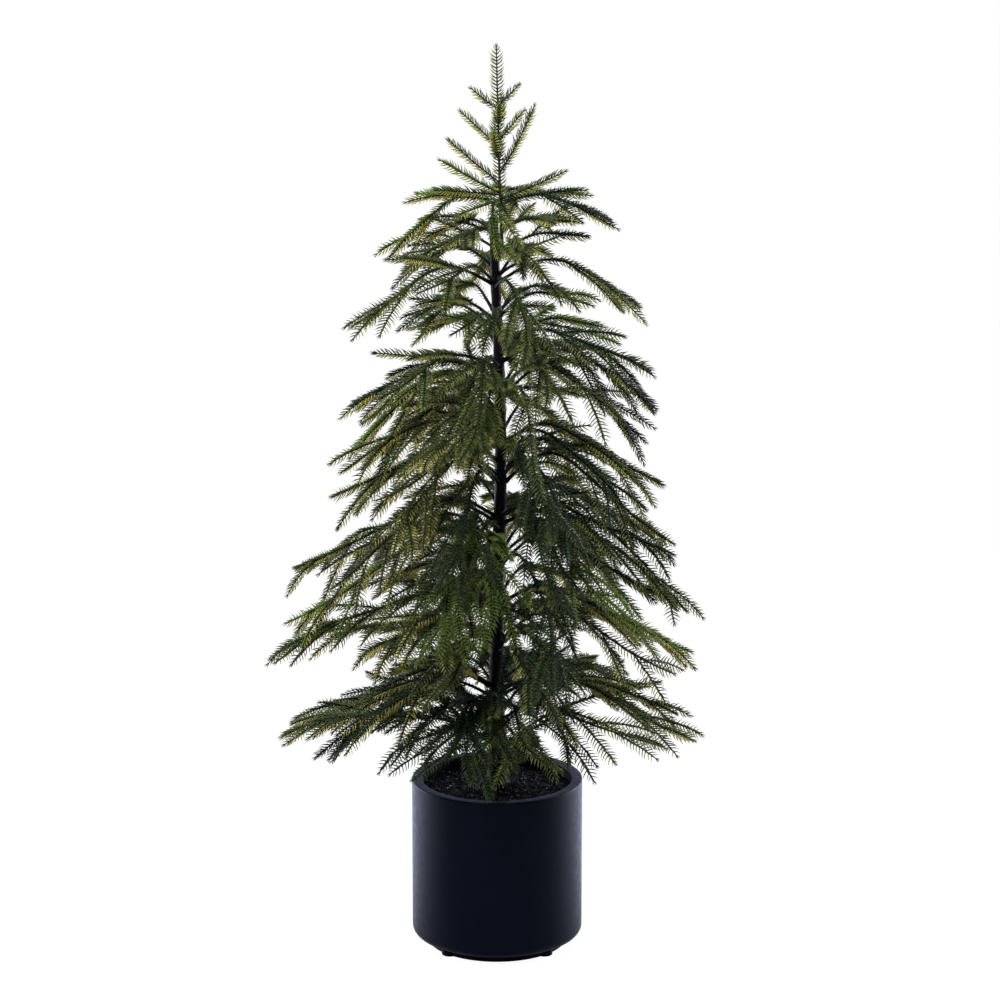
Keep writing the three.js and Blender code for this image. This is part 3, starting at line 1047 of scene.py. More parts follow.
@dataclass(frozen=True)
class Spray:
    """The shoots of one mass of foliage.

    Attributes:
        whorl: The whorl's number, from 1 at the top.
        axes: Its boughs.
        sprigs: Their side sprigs.
    """

    whorl: int
    axes: list[Shoot]
    sprigs: list[Shoot]


# Tones by side and whorl, top whorl first. Besides moulded colour they hold painted shade: the dark blue uppers
# and leaf lowers low on the left and at the front, the dark lowers of most front boughs, and the charcoal shade
# tone, which is partly painted shade.
UPPER_TONES = {
    Side.RIGHT: (Tone.LEAF, Tone.LEAF, Tone.SHADE, Tone.LEAF, Tone.BLUE, Tone.FRESH, Tone.LEAF),
    Side.BACK: (Tone.LEAF, Tone.FRESH, Tone.LEAF, Tone.LEAF, Tone.FRESH, Tone.LEAF, Tone.LEAF),
    Side.LEFT: (Tone.FRESH, Tone.LEAF, Tone.LEAF, Tone.LEAF, Tone.SHADE, Tone.LEAF, Tone.BLUE),
    Side.FRONT: (Tone.FRESH, Tone.LEAF, Tone.LEAF, Tone.BLUE, Tone.FRESH, Tone.BLUE, Tone.BLUE),
}
LOWER_TONES = {
    Side.RIGHT: (Tone.OLIVE, Tone.OLIVE, Tone.MOSS, Tone.STRAW, Tone.MOSS, Tone.STRAW, Tone.OLIVE),
    Side.BACK: (Tone.STRAW, Tone.STRAW, Tone.OLIVE, Tone.STRAW, Tone.OLIVE, Tone.STRAW, Tone.OLIVE),
    Side.LEFT: (Tone.STRAW, Tone.OLIVE, Tone.STRAW, Tone.STRAW, Tone.OLIVE, Tone.STRAW, Tone.LEAF),
    Side.FRONT: (Tone.OLIVE, Tone.MOSS, Tone.MOSS, Tone.LEAF, Tone.LEAF, Tone.MOSS, Tone.LEAF),
}
# The fresh mass whose other boughs are dealt the dark blue tone, painted shade round its fresh fan so that the
# fan stands out.
PAINTED_SHADE_ROUND_FAN = (Side.FRONT, 5)


@dataclass
class BranchingRule:
    """Grows a spray of boughs and side sprigs from each limb of the frame.

    Attributes:
        openings: The places that stay open in the view from the front.
        view: The distance and the height that the tree is looked at from.
        clear_front: The least angle between a companion and the line of view, in degrees.
        arch: The distances between which a bough arches over.
        arch_share: The most of its reach at which it still arches.
        node_start: The distance along a bough of its first side sprigs.
        node_spacing: The distance between side sprigs on one side.
        fork: The angle between a bough and its first side sprig, in degrees.
        end_fork: The same at the bough's tip.
        sprig_length: A full side sprig's length.
        rolls: How far side sprigs stand below their bough's plane, in degrees, whorl by whorl.
        roll_spread: How much that differs between sprigs.
        droops: How strongly side sprigs bend down, whorl by whorl.
        steepest: The steepest that a side sprig hangs, as the sine of its slope.
        swing: How far a bough strays sideways, in degrees.
        bare: The length of a bough at its joint that has no needles.
        bough_growth: The length over which a bough's needles grow to full size, and the length of its darker
            foot of painted shade.
        bough_small: The size of its first needles against the full size.
        bough_foot: A bough's radius at its joint.
        bough_tip: Its radius at its tip.
        sprig_foot: A side sprig's radius where it leaves.
        sprig_tip: Its radius at its tip.
        tip_room: The space that the needles at a bough's tip take up.
        beyond: How far a side sprig may reach beyond its bough's tip.
        odd_share: The share of boughs whose tones are not those of their mass.
    """

    openings: tuple[Opening, ...] = (
        Opening(-1 * MM, 978 * MM, 9 * MM, 15 * MM, True, 0.1),
        Opening(2 * MM, 597 * MM, 13 * MM, 54 * MM, True, 0.1),
        Opening(1 * MM, 453 * MM, 12 * MM, 33 * MM, True, 0.2),
        Opening(0.0, 338 * MM, 12 * MM, 25 * MM, True, 0.1),
        Opening(0.0, 130 * MM, 130 * MM, 58 * MM, False, 0.0),
        Opening(-70 * MM, 216 * MM, 28 * MM, 18 * MM, False, 0.2),
        Opening(52 * MM, 212 * MM, 22 * MM, 14 * MM, False, 0.2),
        Opening(-3 * MM, 912 * MM, 10 * MM, 13 * MM, True, 0.1),
        Opening(83 * MM, 785 * MM, 22 * MM, 10 * MM),
        Opening(20 * MM, 731 * MM, 13 * MM, 16 * MM),
        Opening(62 * MM, 710 * MM, 17 * MM, 9 * MM),
        Opening(112 * MM, 655 * MM, 10 * MM, 16 * MM),
        Opening(174 * MM, 491 * MM, 14 * MM, 13 * MM),
        Opening(139 * MM, 440 * MM, 14 * MM, 13 * MM),
        Opening(180 * MM, 412 * MM, 10 * MM, 11 * MM),
        Opening(135 * MM, 370 * MM, 10 * MM, 9 * MM),
        Opening(-94 * MM, 401 * MM, 14 * MM, 10 * MM),
        Opening(76 * MM, 282 * MM, 10 * MM, 11 * MM),
        Opening(45 * MM, 895 * MM, 32 * MM, 18 * MM),
        Opening(104 * MM, 946 * MM, 48 * MM, 18 * MM),
        Opening(127 * MM, 855 * MM, 46 * MM, 12 * MM),
        Opening(-131 * MM, 827 * MM, 22 * MM, 18 * MM),
        Opening(-27 * MM, 917 * MM, 18 * MM, 13 * MM),
        Opening(-17 * MM, 870 * MM, 12 * MM, 16 * MM),
        Opening(-30 * MM, 632 * MM, 14 * MM, 14 * MM),
        Opening(-67 * MM, 645 * MM, 13 * MM, 12 * MM),
        Opening(58 * MM, 655 * MM, 17 * MM, 9 * MM),
        Opening(26 * MM, 530 * MM, 13 * MM, 14 * MM),
        Opening(56 * MM, 512 * MM, 20 * MM, 11 * MM),
        Opening(-34 * MM, 425 * MM, 18 * MM, 12 * MM),
        Opening(21 * MM, 338 * MM, 13 * MM, 14 * MM),
        Opening(89 * MM, 338 * MM, 20 * MM, 13 * MM),
        Opening(-36 * MM, 338 * MM, 18 * MM, 12 * MM),
    )
    view: tuple[float, float] = (4.6, 1.73)
    clear_front: float = 26.0
    arch: tuple[float, float] = (18 * MM, 112 * MM)
    arch_share: float = 0.62
    node_start: float = 44 * MM
    node_spacing: float = 50 * MM
    fork: float = 43.0
    end_fork: float = 26.0
    sprig_length: float = 108 * MM
    rolls: tuple[float, ...] = (2.0, 6.0, 10.0, 13.0, 13.0, 8.0, 3.0)
    roll_spread: float = 17.0
    droops: tuple[float, ...] = (0.3, 0.45, 0.65, 0.85, 0.85, 0.55, 0.4)
    steepest: float = 0.86
    swing: float = 8.0
    bare: float = 24 * MM
    bough_growth: float = 62 * MM
    bough_small: float = 0.42
    bough_foot: float = 2.3 * MM
    bough_tip: float = 1.1 * MM
    sprig_foot: float = 1.25 * MM
    sprig_tip: float = 0.7 * MM
    tip_room: float = 6 * MM
    beyond: float = 12 * MM
    odd_share: float = 0.35

    def spray(self, plan: LimbPlan, rng: np.random.Generator) -> Spray:
        """Grow every shoot of one mass of foliage.

        Args:
            plan: The limb that carries the mass.
            rng: The source of its differences.

        Returns:
            The mass's shoots.
        """
        companions = COMPANIONS[plan.whorl - 1] + FANS.get((plan.side, plan.whorl), ())
        axes, sprigs = [], []
        for companion in companions:
            course = self.beside(plan, companion, rng)
            own = self.tones(plan, companion.turn == 0.0, rng)
            axis = self.bough(course, companion.tones or own, rng)
            axes.append(axis)
            grown = self.side_sprigs(axis, course, rng)
            sprigs += [sprig for sprig in grown if companion.tones or self.stays(sprig)]
        return Spray(plan.whorl, axes, sprigs)

    def stays(self, sprig: Shoot) -> bool:
        """Tell whether a side sprig crosses none of the openings."""
        return not any(opening.crossed(sprig, self.view) for opening in self.openings)

    def clear(self, azimuth: float) -> float:
        """Turn a companion's direction away from straight ahead and straight back, in radians."""
        aside = (math.degrees(azimuth) + 270.0) % 360.0 - 180.0
        kept = min(max(abs(aside), self.clear_front), 180.0 - self.clear_front)
        return math.radians(math.copysign(kept, aside) - 90.0)

    def beside(self, plan: LimbPlan, companion: Companion, rng: np.random.Generator) -> LimbPlan:
        """Turn a limb's plan into that of a bough beside it.

        Args:
            plan: The limb's plan.
            companion: Where the bough stands beside it.
            rng: The source of its differences.

        Returns:
            The bough's plan.
        """
        if companion.turn == 0.0:
            return replace(plan, drop=plan.drop - companion.tip, rise=plan.rise * companion.steepness)
        reach = plan.reach * companion.reach * rng.uniform(0.94, 1.06)
        fall = float(plan.height - plan.height_at(reach))
        lift = companion.lift + rng.uniform(-7 * MM, 7 * MM)
        azimuth = plan.azimuth + math.radians(companion.turn + rng.uniform(-6.0, 6.0))
        return replace(
            plan,
            azimuth=azimuth if companion.tones else self.clear(azimuth),
            height=plan.height + lift,
            reach=reach,
            drop=fall + lift - companion.tip + rng.uniform(-10 * MM, 14 * MM),
            rise=plan.rise * companion.steepness * rng.uniform(0.9, 1.1),
        )

    def bough(self, plan: LimbPlan, tones: tuple[Tone, Tone], rng: np.random.Generator) -> Shoot:
        """Grow one bough's axis.

        Args:
            plan: The bough's plan.
            tones: The tones of its upper and lower rows of needles.
            rng: The source of its differences.

        Returns:
            The axis.
        """
        steps = 24
        distance = np.linspace(2 * MM, plan.reach - self.tip_room, steps)
        share = distance / plan.reach
        stray = math.radians(self.swing) * np.sin(math.pi * 1.6 * share + rng.uniform(0, 2 * math.pi))
        azimuth = plan.azimuth + stray * share
        begin, end = self.arch
        end = min(end * rng.uniform(0.8, 1.2), self.arch_share * plan.reach)
        points = np.column_stack(
            [
                plan.axis_x + distance * np.cos(azimuth),
                distance * np.sin(azimuth),
                plan.arched(distance, begin, end),
            ]
        )
        return Shoot(
            points, np.array([0.0, 0.0, 1.0]), self.bough_foot, self.bough_tip, self.bare, *tones,
            growth=self.bough_growth, small=self.bough_small,
        )

    def side_sprigs(self, axis: Shoot, plan: LimbPlan, rng: np.random.Generator) -> list[Shoot]:
        """Grow the side sprigs of a bough in uneven pairs.

        Args:
            axis: The bough.
            plan: The bough's plan.
            rng: The source of their differences.

        Returns:
            The side sprigs.
        """
        sprigs = []
        full = min(self.sprig_length, 0.6 * plan.reach)
        for hand in (-1, 1):
            where = self.node_start * rng.uniform(0.8, 1.5)
            while where < axis.length - 0.42 * full:
                share = where / axis.length
                fork = self.fork + (self.end_fork - self.fork) * share + rng.normal(0.0, 6.0)
                length = full * (1.0 - 0.3 * share**2) * rng.uniform(0.8, 1.1)
                length = min(length, (axis.length - where) * 1.05 + self.beyond)
                sprigs.append(self.sprig(axis, where, hand * math.radians(fork), length, plan.whorl, rng))
                where += self.node_spacing * rng.uniform(0.8, 1.25)
        return sprigs

    def sprig(
        self, axis: Shoot, where: float, fork: float, length: float, whorl: int, rng: np.random.Generator
    ) -> Shoot:
        """Grow one side sprig, which leaves its bough and bends down under its weight.

        Args:
            axis: The bough.
            where: The distance along the bough at which it leaves.
            fork: Its angle from the bough, in radians, with its sign for the side.
            length: Its length.
            whorl: The whorl's number.
            rng: The source of its differences.

        Returns:
            The sprig.
        """
        place, tangent, up = (row[0] for row in axis.at(np.array([where])))
        across = np.cross(tangent, up)
        roll = math.radians(rng.normal(self.rolls[whorl - 1], self.roll_spread))
        aside = math.sin(fork) * math.cos(roll) * across - abs(math.sin(fork)) * math.sin(roll) * up
        start = math.cos(fork) * tangent + aside
        steps = 8
        share = np.linspace(0.0, 1.0, steps)
        pull = self.droops[whorl - 1] * rng.uniform(0.15, 1.4)
        bend = pull * np.array([0.0, 0.0, -1.0]) - 0.16 * math.sin(fork) * across
        directions = unit(start + share[:, None] ** 1.3 * bend)
        directions[:, 2] = np.maximum(directions[:, 2], -self.steepest)
        directions = unit(directions)
        mean = (directions[1:] + directions[:-1]) / 2
        points = place + np.concatenate([np.zeros((1, 3)), np.cumsum(mean, axis=0)]) * length / (steps - 1)
        return Shoot(points, up, self.sprig_foot, self.sprig_tip, 5 * MM, axis.upper, axis.lower)

    def tones(self, plan: LimbPlan, main: bool, rng: np.random.Generator) -> tuple[Tone, Tone]:
        """Deal a bough its two tones.

        Args:
            plan: The bough's plan.
            main: Whether it is the frame's own limb, which alone is fresh in a fresh mass.
            rng: The source of the choice.

        Returns:
            The tones of its upper and lower rows of needles.
        """
        upper = UPPER_TONES[plan.side][plan.whorl - 1]
        lower = LOWER_TONES[plan.side][plan.whorl - 1]
        if upper is Tone.FRESH:
            # In that mass the boughs beside the fresh one turn dark blue: painted shade round the fan.
            beside = Tone.BLUE if (plan.side, plan.whorl) == PAINTED_SHADE_ROUND_FAN else Tone.LEAF
            upper = Tone.FRESH if main else beside
        elif rng.uniform() < self.odd_share:
            upper = rng.choice([Tone.FRESH, Tone.LEAF, Tone.LEAF, Tone.BLUE])
        # Front boughs keep their dark lower rows, painted shade beneath them.
        if plan.side is not Side.FRONT and rng.uniform() < self.odd_share:
            lower = rng.choice([Tone.OLIVE, Tone.STRAW, Tone.MOSS])
        return upper, lower


# ---- crown ---------------------------------------------------------------------------------


@dataclass
class Crown:
    """Every bough, sprig and needle of the tree.

    Attributes:
        reader: Reads the frame's limbs.
        branching: The rule that grows the sprays.
        needles: The rule that sets the needles.
    """

    reader: FrameReader
    branching: BranchingRule = field(default_factory=BranchingRule)
    needles: NeedleRule = field(default_factory=NeedleRule)
    whorls: int = 7

    def grow(self) -> list[Spray]:
        """Grow the sprays of every whorl.

        Returns:
            All sprays, from the top whorl down.
        """
        sprays = []
        for whorl in range(1, self.whorls + 1):
            for index, side in enumerate(Side):
                rng = np.random.default_rng([SEED, whorl, index])
                sprays.append(self.branching.spray(self.reader.plan(whorl, side), rng))
        return sprays


@dataclass(frozen=True)
class LeaderSprig:
    """A sprig beside the leader.

    Attributes:
        height: Where it leaves the leader.
        turn: Its direction, in degrees from +X.
        lean: Its angle above the level, in degrees.
        length: Its length.
        curl: How far it bends up along its length.
    """

    height: float
    turn: float
    lean: float
    length: float
    curl: float = 0.25


@dataclass
class Leader:
    """The green leader with its pairs of rising sprigs.

    Attributes:
        reader: Reads the frame.
        foot_radius: The stem's radius at its foot.
        tip_radius: Its radius at the tip.
        needle_start: The length at its foot that has no needles.
        needle_share: The size of its needles against the usual size.
        closeness: How much closer together they stand than usual.
        sprigs: The sprigs beside it.
    """

    reader: FrameReader
    foot_radius: float = 2.6 * MM
    tip_radius: float = 0.8 * MM
    needle_start: float = 46 * MM
    needle_share: float = 0.95
    closeness: float = 1.1
    sprigs: tuple[LeaderSprig, ...] = (
        LeaderSprig(1133 * MM, 178, 36, 43 * MM, 0.12),
        LeaderSprig(1138 * MM, 4, 42, 37 * MM, 0.12),
        LeaderSprig(1112 * MM, 275, 50, 36 * MM),
        LeaderSprig(1110 * MM, 84, 42, 50 * MM),
        LeaderSprig(1086 * MM, 184, 40, 67 * MM, 0.12),
        LeaderSprig(1093 * MM, -6, 48, 50 * MM, 0.12),
        LeaderSprig(1068 * MM, 258, 46, 50 * MM),
        LeaderSprig(1064 * MM, 98, 40, 66 * MM),
        LeaderSprig(1038 * MM, 176, 37, 86 * MM, 0.12),
        LeaderSprig(1050 * MM, 8, 56, 98 * MM, 0.5),
        LeaderSprig(1024 * MM, 164, 24, 90 * MM, 0.1),
        LeaderSprig(1022 * MM, 196, 8, 86 * MM, -0.05),
        LeaderSprig(1016 * MM, 174, 2, 108 * MM, 0.05),
        LeaderSprig(1016 * MM, -12, 22, 94 * MM, 0.1),
        LeaderSprig(1014 * MM, 10, 12, 120 * MM, -0.35),
        LeaderSprig(1012 * MM, 286, -8, 60 * MM, -0.8),
    )

    def grow(self) -> list[Shoot]:
        """Grow the leader and its sprigs.

        Returns:
            The leader, then its sprigs.
        """
        foot, top = self.course()
        rng = np.random.default_rng([SEED, 99])
        up = np.array([0.0, -1.0, 0.0])
        stem = Shoot(
            foot, up, self.foot_radius, self.tip_radius, self.needle_start, Tone.LEAF, Tone.OLIVE,
            self.needle_share, self.closeness,
        )
        shoots = [stem]
        for sprig in self.sprigs:
            shoots.append(self.sprig(stem, sprig, rng))
        LOG.info("the leader reaches %.3f m", top)
        return shoots

    def course(self) -> tuple[np.ndarray, float]:
        """Give the places along the leader and the height of its tip."""
        stem = node_points("leader_stem")
        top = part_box("leader_foliage")[1].z
        tip_room = 6 * MM
        heights = np.linspace(stem[:, 2].min(), top - tip_room, 24)
        low = stem[:, 2].min()
        clear = float(stem[stem[:, 2] < low + 1 * MM, 0].mean())
        join = self.reader.levels.max()
        share = np.clip((heights - low) / (join + 20 * MM - low), 0.0, 1.0)
        lean = np.clip((heights - join) / (top - join), 0.0, 1.0)
        x = clear + (self.reader.leader_x - clear) * share - (self.reader.leader_x + 1 * MM) * lean
        return np.column_stack([x, np.zeros_like(x), heights]), top

    def sprig(self, stem: Shoot, sprig: LeaderSprig, rng: np.random.Generator) -> Shoot:
        """Grow one rising sprig.

        Args:
            stem: The leader.
            sprig: Where it leaves and how it runs.
            rng: The source of its tones.

        Returns:
            The sprig.
        """
        where = np.interp(sprig.height, stem.points[:, 2], stem.along)
        place = stem.at(np.array([where]))[0][0]
        turn, lean = math.radians(sprig.turn), math.radians(sprig.lean)
        level = np.array([math.cos(turn), math.sin(turn), 0.0])
        upright = np.array([0.0, 0.0, 1.0])
        steps = 10
        share = np.linspace(0.0, 1.0, steps)
        start = math.cos(lean) * level + math.sin(lean) * upright
        directions = unit(start + sprig.curl * share[:, None] * upright)
        mean = (directions[1:] + directions[:-1]) / 2
        points = place + np.concatenate([np.zeros((1, 3)), np.cumsum(mean, axis=0)]) * sprig.length / (
            steps - 1
        )
        upper = rng.choice([Tone.LEAF, Tone.FRESH])
        lower = rng.choice([Tone.OLIVE, Tone.STRAW])
        return Shoot(points, upright, 1.2 * MM, 0.7 * MM, 5 * MM, upper, lower, 1.0, 1.15)


class FoliageBuilder:
    """Turns shoots into pieces: one set of stems, and needles by tone."""

    def __init__(self, needles: NeedleRule) -> None:
        """Keep the rule that sets the needles.

        Args:
            needles: The rule.
        """
        self.needles = needles

    def stems(self, shoots: Sequence[Shoot], name: str, material: bpy.types.Material) -> list:
        """Build the stems of some shoots.

        Args:
            shoots: The shoots.
            name: The pieces' name.
            material: Their material.

        Returns:
            The pieces.
        """
        gathers = [MeshGather()]
        for shoot in shoots:
            if gathers[-1].triangles() > MOST_TRIANGLES - 2000:
                gathers.append(MeshGather())
            add_stem(gathers[-1], shoot)
        return [
            dress(gather.build(f"{name}_{i + 1}"), material)
            for i, gather in enumerate(gathers)
        ]

    def needle_pieces(self, shoots: Sequence[Shoot], materials: dict[Tone, bpy.types.Material]) -> list:
        """Build the needles of some shoots, each tone apart.

        Args:
            shoots: The shoots.
            materials: The material of each tone.

        Returns:
            The pieces.
        """
        rule = self.needles
        rng = np.random.default_rng([SEED, 7])
        rows: dict[Tone, list[np.ndarray]] = {tone: [] for tone in Tone}
        for shoot in shoots:
            rows[shoot.upper].append(rule.set_rows(shoot, (rule.upper_turn, -rule.upper_turn), rng))
            under = rule.set_rows(shoot, (rule.lower_turn, -rule.lower_turn), rng)
            # Near a shoot's foot the lower rows take its upper tone as well; on the boughs this darker foot is
            # painted shade near the trunk.
            away = np.linalg.norm(under[:, :3] - shoot.points[0], axis=1)
            grown = away > shoot.bare + shoot.growth
            rows[shoot.lower].append(under[grown])
            rows[shoot.upper].append(under[~grown])
            rows[shoot.upper].append(
                rule.set_rows(shoot, (0.0,), rng, rule.crest_share, rule.crest_tilt, 0.75)
            )
            rows[shoot.upper].append(rule.set_tuft(shoot, rng))
        pieces = []
        per_piece = MOST_TRIANGLES // len(rule.template()[1])
        for tone, parts in rows.items():
            if not parts:
                continue
            together = np.concatenate(parts)
            for i in range(0, len(together), per_piece):
                gather = MeshGather()
                rule.add_needles(gather, together[i : i + per_piece])
                piece = gather.build(f"needles_{tone.value}_{i // per_piece + 1}")
                pieces.append(dress(piece, materials[tone]))
            LOG.info("%s: %d needles", tone.value, len(together))
        return pieces


# ---- trunk ---------------------------------------------------------------------------------


@dataclass
class Trunk:
    """The trunk, wound with dark tape that is creased along its length.

    Attributes:
        reader: Reads the frame's trunk.
        step: The distance between its rings.
        sides: The number of sides.
        tape_pitch: The height of one turn of the tape.
        tape_lip: How far the tape's edge stands out.
        crease: The depth of the creases.
        end_round: The rounding of its cut top.
    """

    reader: FrameReader
    step: float = 1.6 * MM
    sides: int = 36
    tape_pitch: float = 17 * MM
    tape_lip: float = 0.55 * MM
    crease: float = 0.9 * MM
    end_round: float = 1.5 * MM

    def relief(self, turn: float, z: float) -> float:
        """Give the surface's height above the trunk's plain radius.

        Args:
            turn: The angle round the trunk, in radians.
            z: The height.

        Returns:
            The height of the relief in metres.
        """
        wound = (z / self.tape_pitch + turn / (2 * math.pi)) % 1.0
        lip = self.tape_lip * (1.0 - wound) ** 2
        place = Vector((math.cos(turn) * 1.7, math.sin(turn) * 1.7, z * 38.0))
        folds = noise.noise(place + Vector((0, 0, 11)))
        flakes = noise.noise(Vector((math.cos(turn) * 3.1, math.sin(turn) * 3.1, z * 150.0)))
        pits = noise.noise(Vector((math.cos(turn) * 7.0, math.sin(turn) * 7.0, z * 520.0)))
        return lip + self.crease * (0.75 * folds + 0.4 * flakes + 0.22 * pits)

    def build(self, material: bpy.types.Material) -> bpy.types.Object:
        """Build the trunk.

        Args:
            material: Its material.

        Returns:
            The trunk's piece.
        """
        low, high = self.reader.levels.min(), self.reader.levels.max()
        heights = np.arange(low - 3 * MM, high - self.end_round, self.step)
        rings = []
        turns = 2 * math.pi * np.arange(self.sides) / self.sides
        for z in heights:
            centre, radius = self.reader.trunk_x(z), self.reader.trunk_radius(z)
            reach = np.array([radius - 0.4 * MM + self.relief(t, z) for t in turns])
            rings.append(self.ring(centre, reach, turns, z))
        centre, radius = self.reader.trunk_x(high), self.reader.trunk_radius(high)
        for share in (0.35, 0.7, 1.0):
            inset = self.end_round * (1 - math.sqrt(1 - share**2))
            reach = np.full(self.sides, radius - inset - 0.2 * MM)
            rings.append(self.ring(centre, reach, turns, high - self.end_round * (1 - share)))
        points = np.concatenate(rings + [[(self.reader.trunk_x(low), 0, low)], [(centre, 0, high)]])
        first = np.arange(self.sides)
        last = first + (len(rings) - 1) * self.sides
        foot = np.full(self.sides, len(points) - 2)
        top = np.full(self.sides, len(points) - 1)
        caps = np.concatenate(
            [np.stack([foot, np.roll(first, -1), first], 1), np.stack([top, last, np.roll(last, -1)], 1)]
        )
        gather = MeshGather()
        gather.add(points, [ring_faces(len(rings), self.sides), caps])
        return dress(gather.build("trunk_wound"), material, ["trunk"])

    def ring(self, centre: float, reach: np.ndarray, turns: np.ndarray, z: float) -> np.ndarray:
        """Give one ring of points at a height."""
        return np.column_stack([centre + reach * np.cos(turns), reach * np.sin(turns), np.full(len(turns), z)])


@dataclass
class LimbFeet:
    """The bare, bark-coloured feet of the boughs, with a collar where each leaves the trunk.

    Attributes:
        reader: Reads the frame.
        length: How far each foot runs from the trunk's surface.
        collar: The collar's radius against the bough's.
        sides: The number of sides.
    """

    reader: FrameReader
    length: float = 30 * MM
    collar: float = 1.45
    sides: int = 8

    def build(self, boughs: Sequence[Shoot], material: bpy.types.Material, nodes: Sequence[str]) -> object:
        """Build the feet of all boughs as one piece.

        Args:
            boughs: The boughs' axes.
            material: Their material.
            nodes: The frame's limbs that they stand for.

        Returns:
            The piece.
        """
        gather = MeshGather()
        steps = 9
        for k, bough in enumerate(boughs):
            start = self.reader.trunk_radius(bough.points[0, 2]) - 2 * MM
            where = np.linspace(start, start + self.length, steps)
            place, tangent, up = bough.at(where)
            across = np.cross(tangent, up)
            share = np.linspace(0.0, 1.0, steps)
            flare = 1.15 + (self.collar - 1.0) * np.exp(-8.0 * share)
            radii = bough.radius_at(where) * flare * (1.0 - 0.15 * share)
            turns = 2 * math.pi * np.arange(self.sides) / self.sides
            rough = np.array(
                [[noise.noise(Vector((k * 7.1, 9.0 * s, 2.0 * t))) for t in turns] for s in share]
            )
            reach = radii[:, None] * (1.0 + 0.16 * rough)
            outward = across[:, None] * np.cos(turns)[None, :, None] + up[:, None] * np.sin(turns)[None, :, None]
            rings = place[:, None] + outward * reach[:, :, None]
            points = np.concatenate([rings.reshape(-1, 3), [place[0], place[-1]]])
            first = np.arange(self.sides)
            last = first + (steps - 1) * self.sides
            foot = np.full(self.sides, len(points) - 2)
            end = np.full(self.sides, len(points) - 1)
            caps = np.concatenate(
                [np.stack([foot, np.roll(first, -1), first], 1), np.stack([end, last, np.roll(last, -1)], 1)]
            )
            gather.add(points, [ring_faces(steps, self.sides), caps])
        return dress(gather.build("limb_feet"), material, nodes)


# ---- pot and grit --------------------------------------------------------------------------


@dataclass
class Pot:
    """The round pot: flat rim, rounded lower shoulder, inset plinth and four feet.

    Attributes:
        wall: The rim's width.
        rim_round: The rounding of the rim's two edges.
        shoulder_round: The rounding above the plinth.
        plinth_inset: How far the plinth stands in from the wall.
        plinth_height: Its height.
        feet_circle: The radius of the circle that the feet stand on.
        foot_radius: A foot's radius.
        foot_height: A foot's height.
        segments: The number of segments round the pot.
    """

    wall: float = 14 * MM
    rim_round: float = 1.9 * MM
    shoulder_round: float = 12 * MM
    plinth_inset: float = 21 * MM
    plinth_height: float = 11 * MM
    floor: float = 26 * MM
    feet_circle: float = 90 * MM
    foot_radius: float = 11 * MM
    foot_height: float = 7 * MM
    segments: int = 192

    def profile(self, radius: float, height: float) -> list[tuple[float, float]]:
        """Give the pot's section.

        Args:
            radius: The wall's outer radius.
            height: The pot's height.

        Returns:
            Pairs of radius and height from the underside round to the inside floor.
        """
        plinth = radius - self.plinth_inset
        base = 1.5 * MM
        inner = radius - self.wall
        shoulder = (radius - self.shoulder_round, self.plinth_height + self.shoulder_round)
        outer_edge = (radius - self.rim_round, height - self.rim_round)
        inner_edge = (inner + self.rim_round, height - self.rim_round)
        return [
            (0.0, 0.0),
            *arc((plinth - base, base), base, -90, 0, 4),
            (plinth, self.plinth_height - 1 * MM),
            (plinth + 1 * MM, self.plinth_height),
            *arc(shoulder, self.shoulder_round, -90, 0, 12),
            *[(radius, z) for z in np.linspace(40 * MM, height - 12 * MM, 6)],
            *arc(outer_edge, self.rim_round, 0, 90, 7),
            *arc(inner_edge, self.rim_round, 90, 180, 7),
            (inner, self.floor),
            (0.0, self.floor),
        ]

    def build(self, material: bpy.types.Material) -> bpy.types.Object:
        """Build the pot with its feet.

        Args:
            material: Its material.

        Returns:
            The pot's piece.
        """
        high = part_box("pot")[1]
        gather = MeshGather()
        points, faces = turned(self.profile(high.x, high.z), self.segments)
        gather.add(points, faces)
        edge = 1.6 * MM
        foot = [
            (0.0, 0.0),
            *arc((self.foot_radius - edge, edge), edge, -90, 0, 4),
            *arc((self.foot_radius - edge, self.foot_height - edge), edge, 0, 90, 4),
            (0.0, self.foot_height),
        ]
        points, faces = turned(foot, 28)
        for turn in np.radians([45, 135, 225, 315]):
            place = np.array([math.cos(turn), math.sin(turn), 0.0]) * self.feet_circle
            gather.add(points + place, faces)
        return dress(gather.build("pot_moulded"), material, ["pot"])


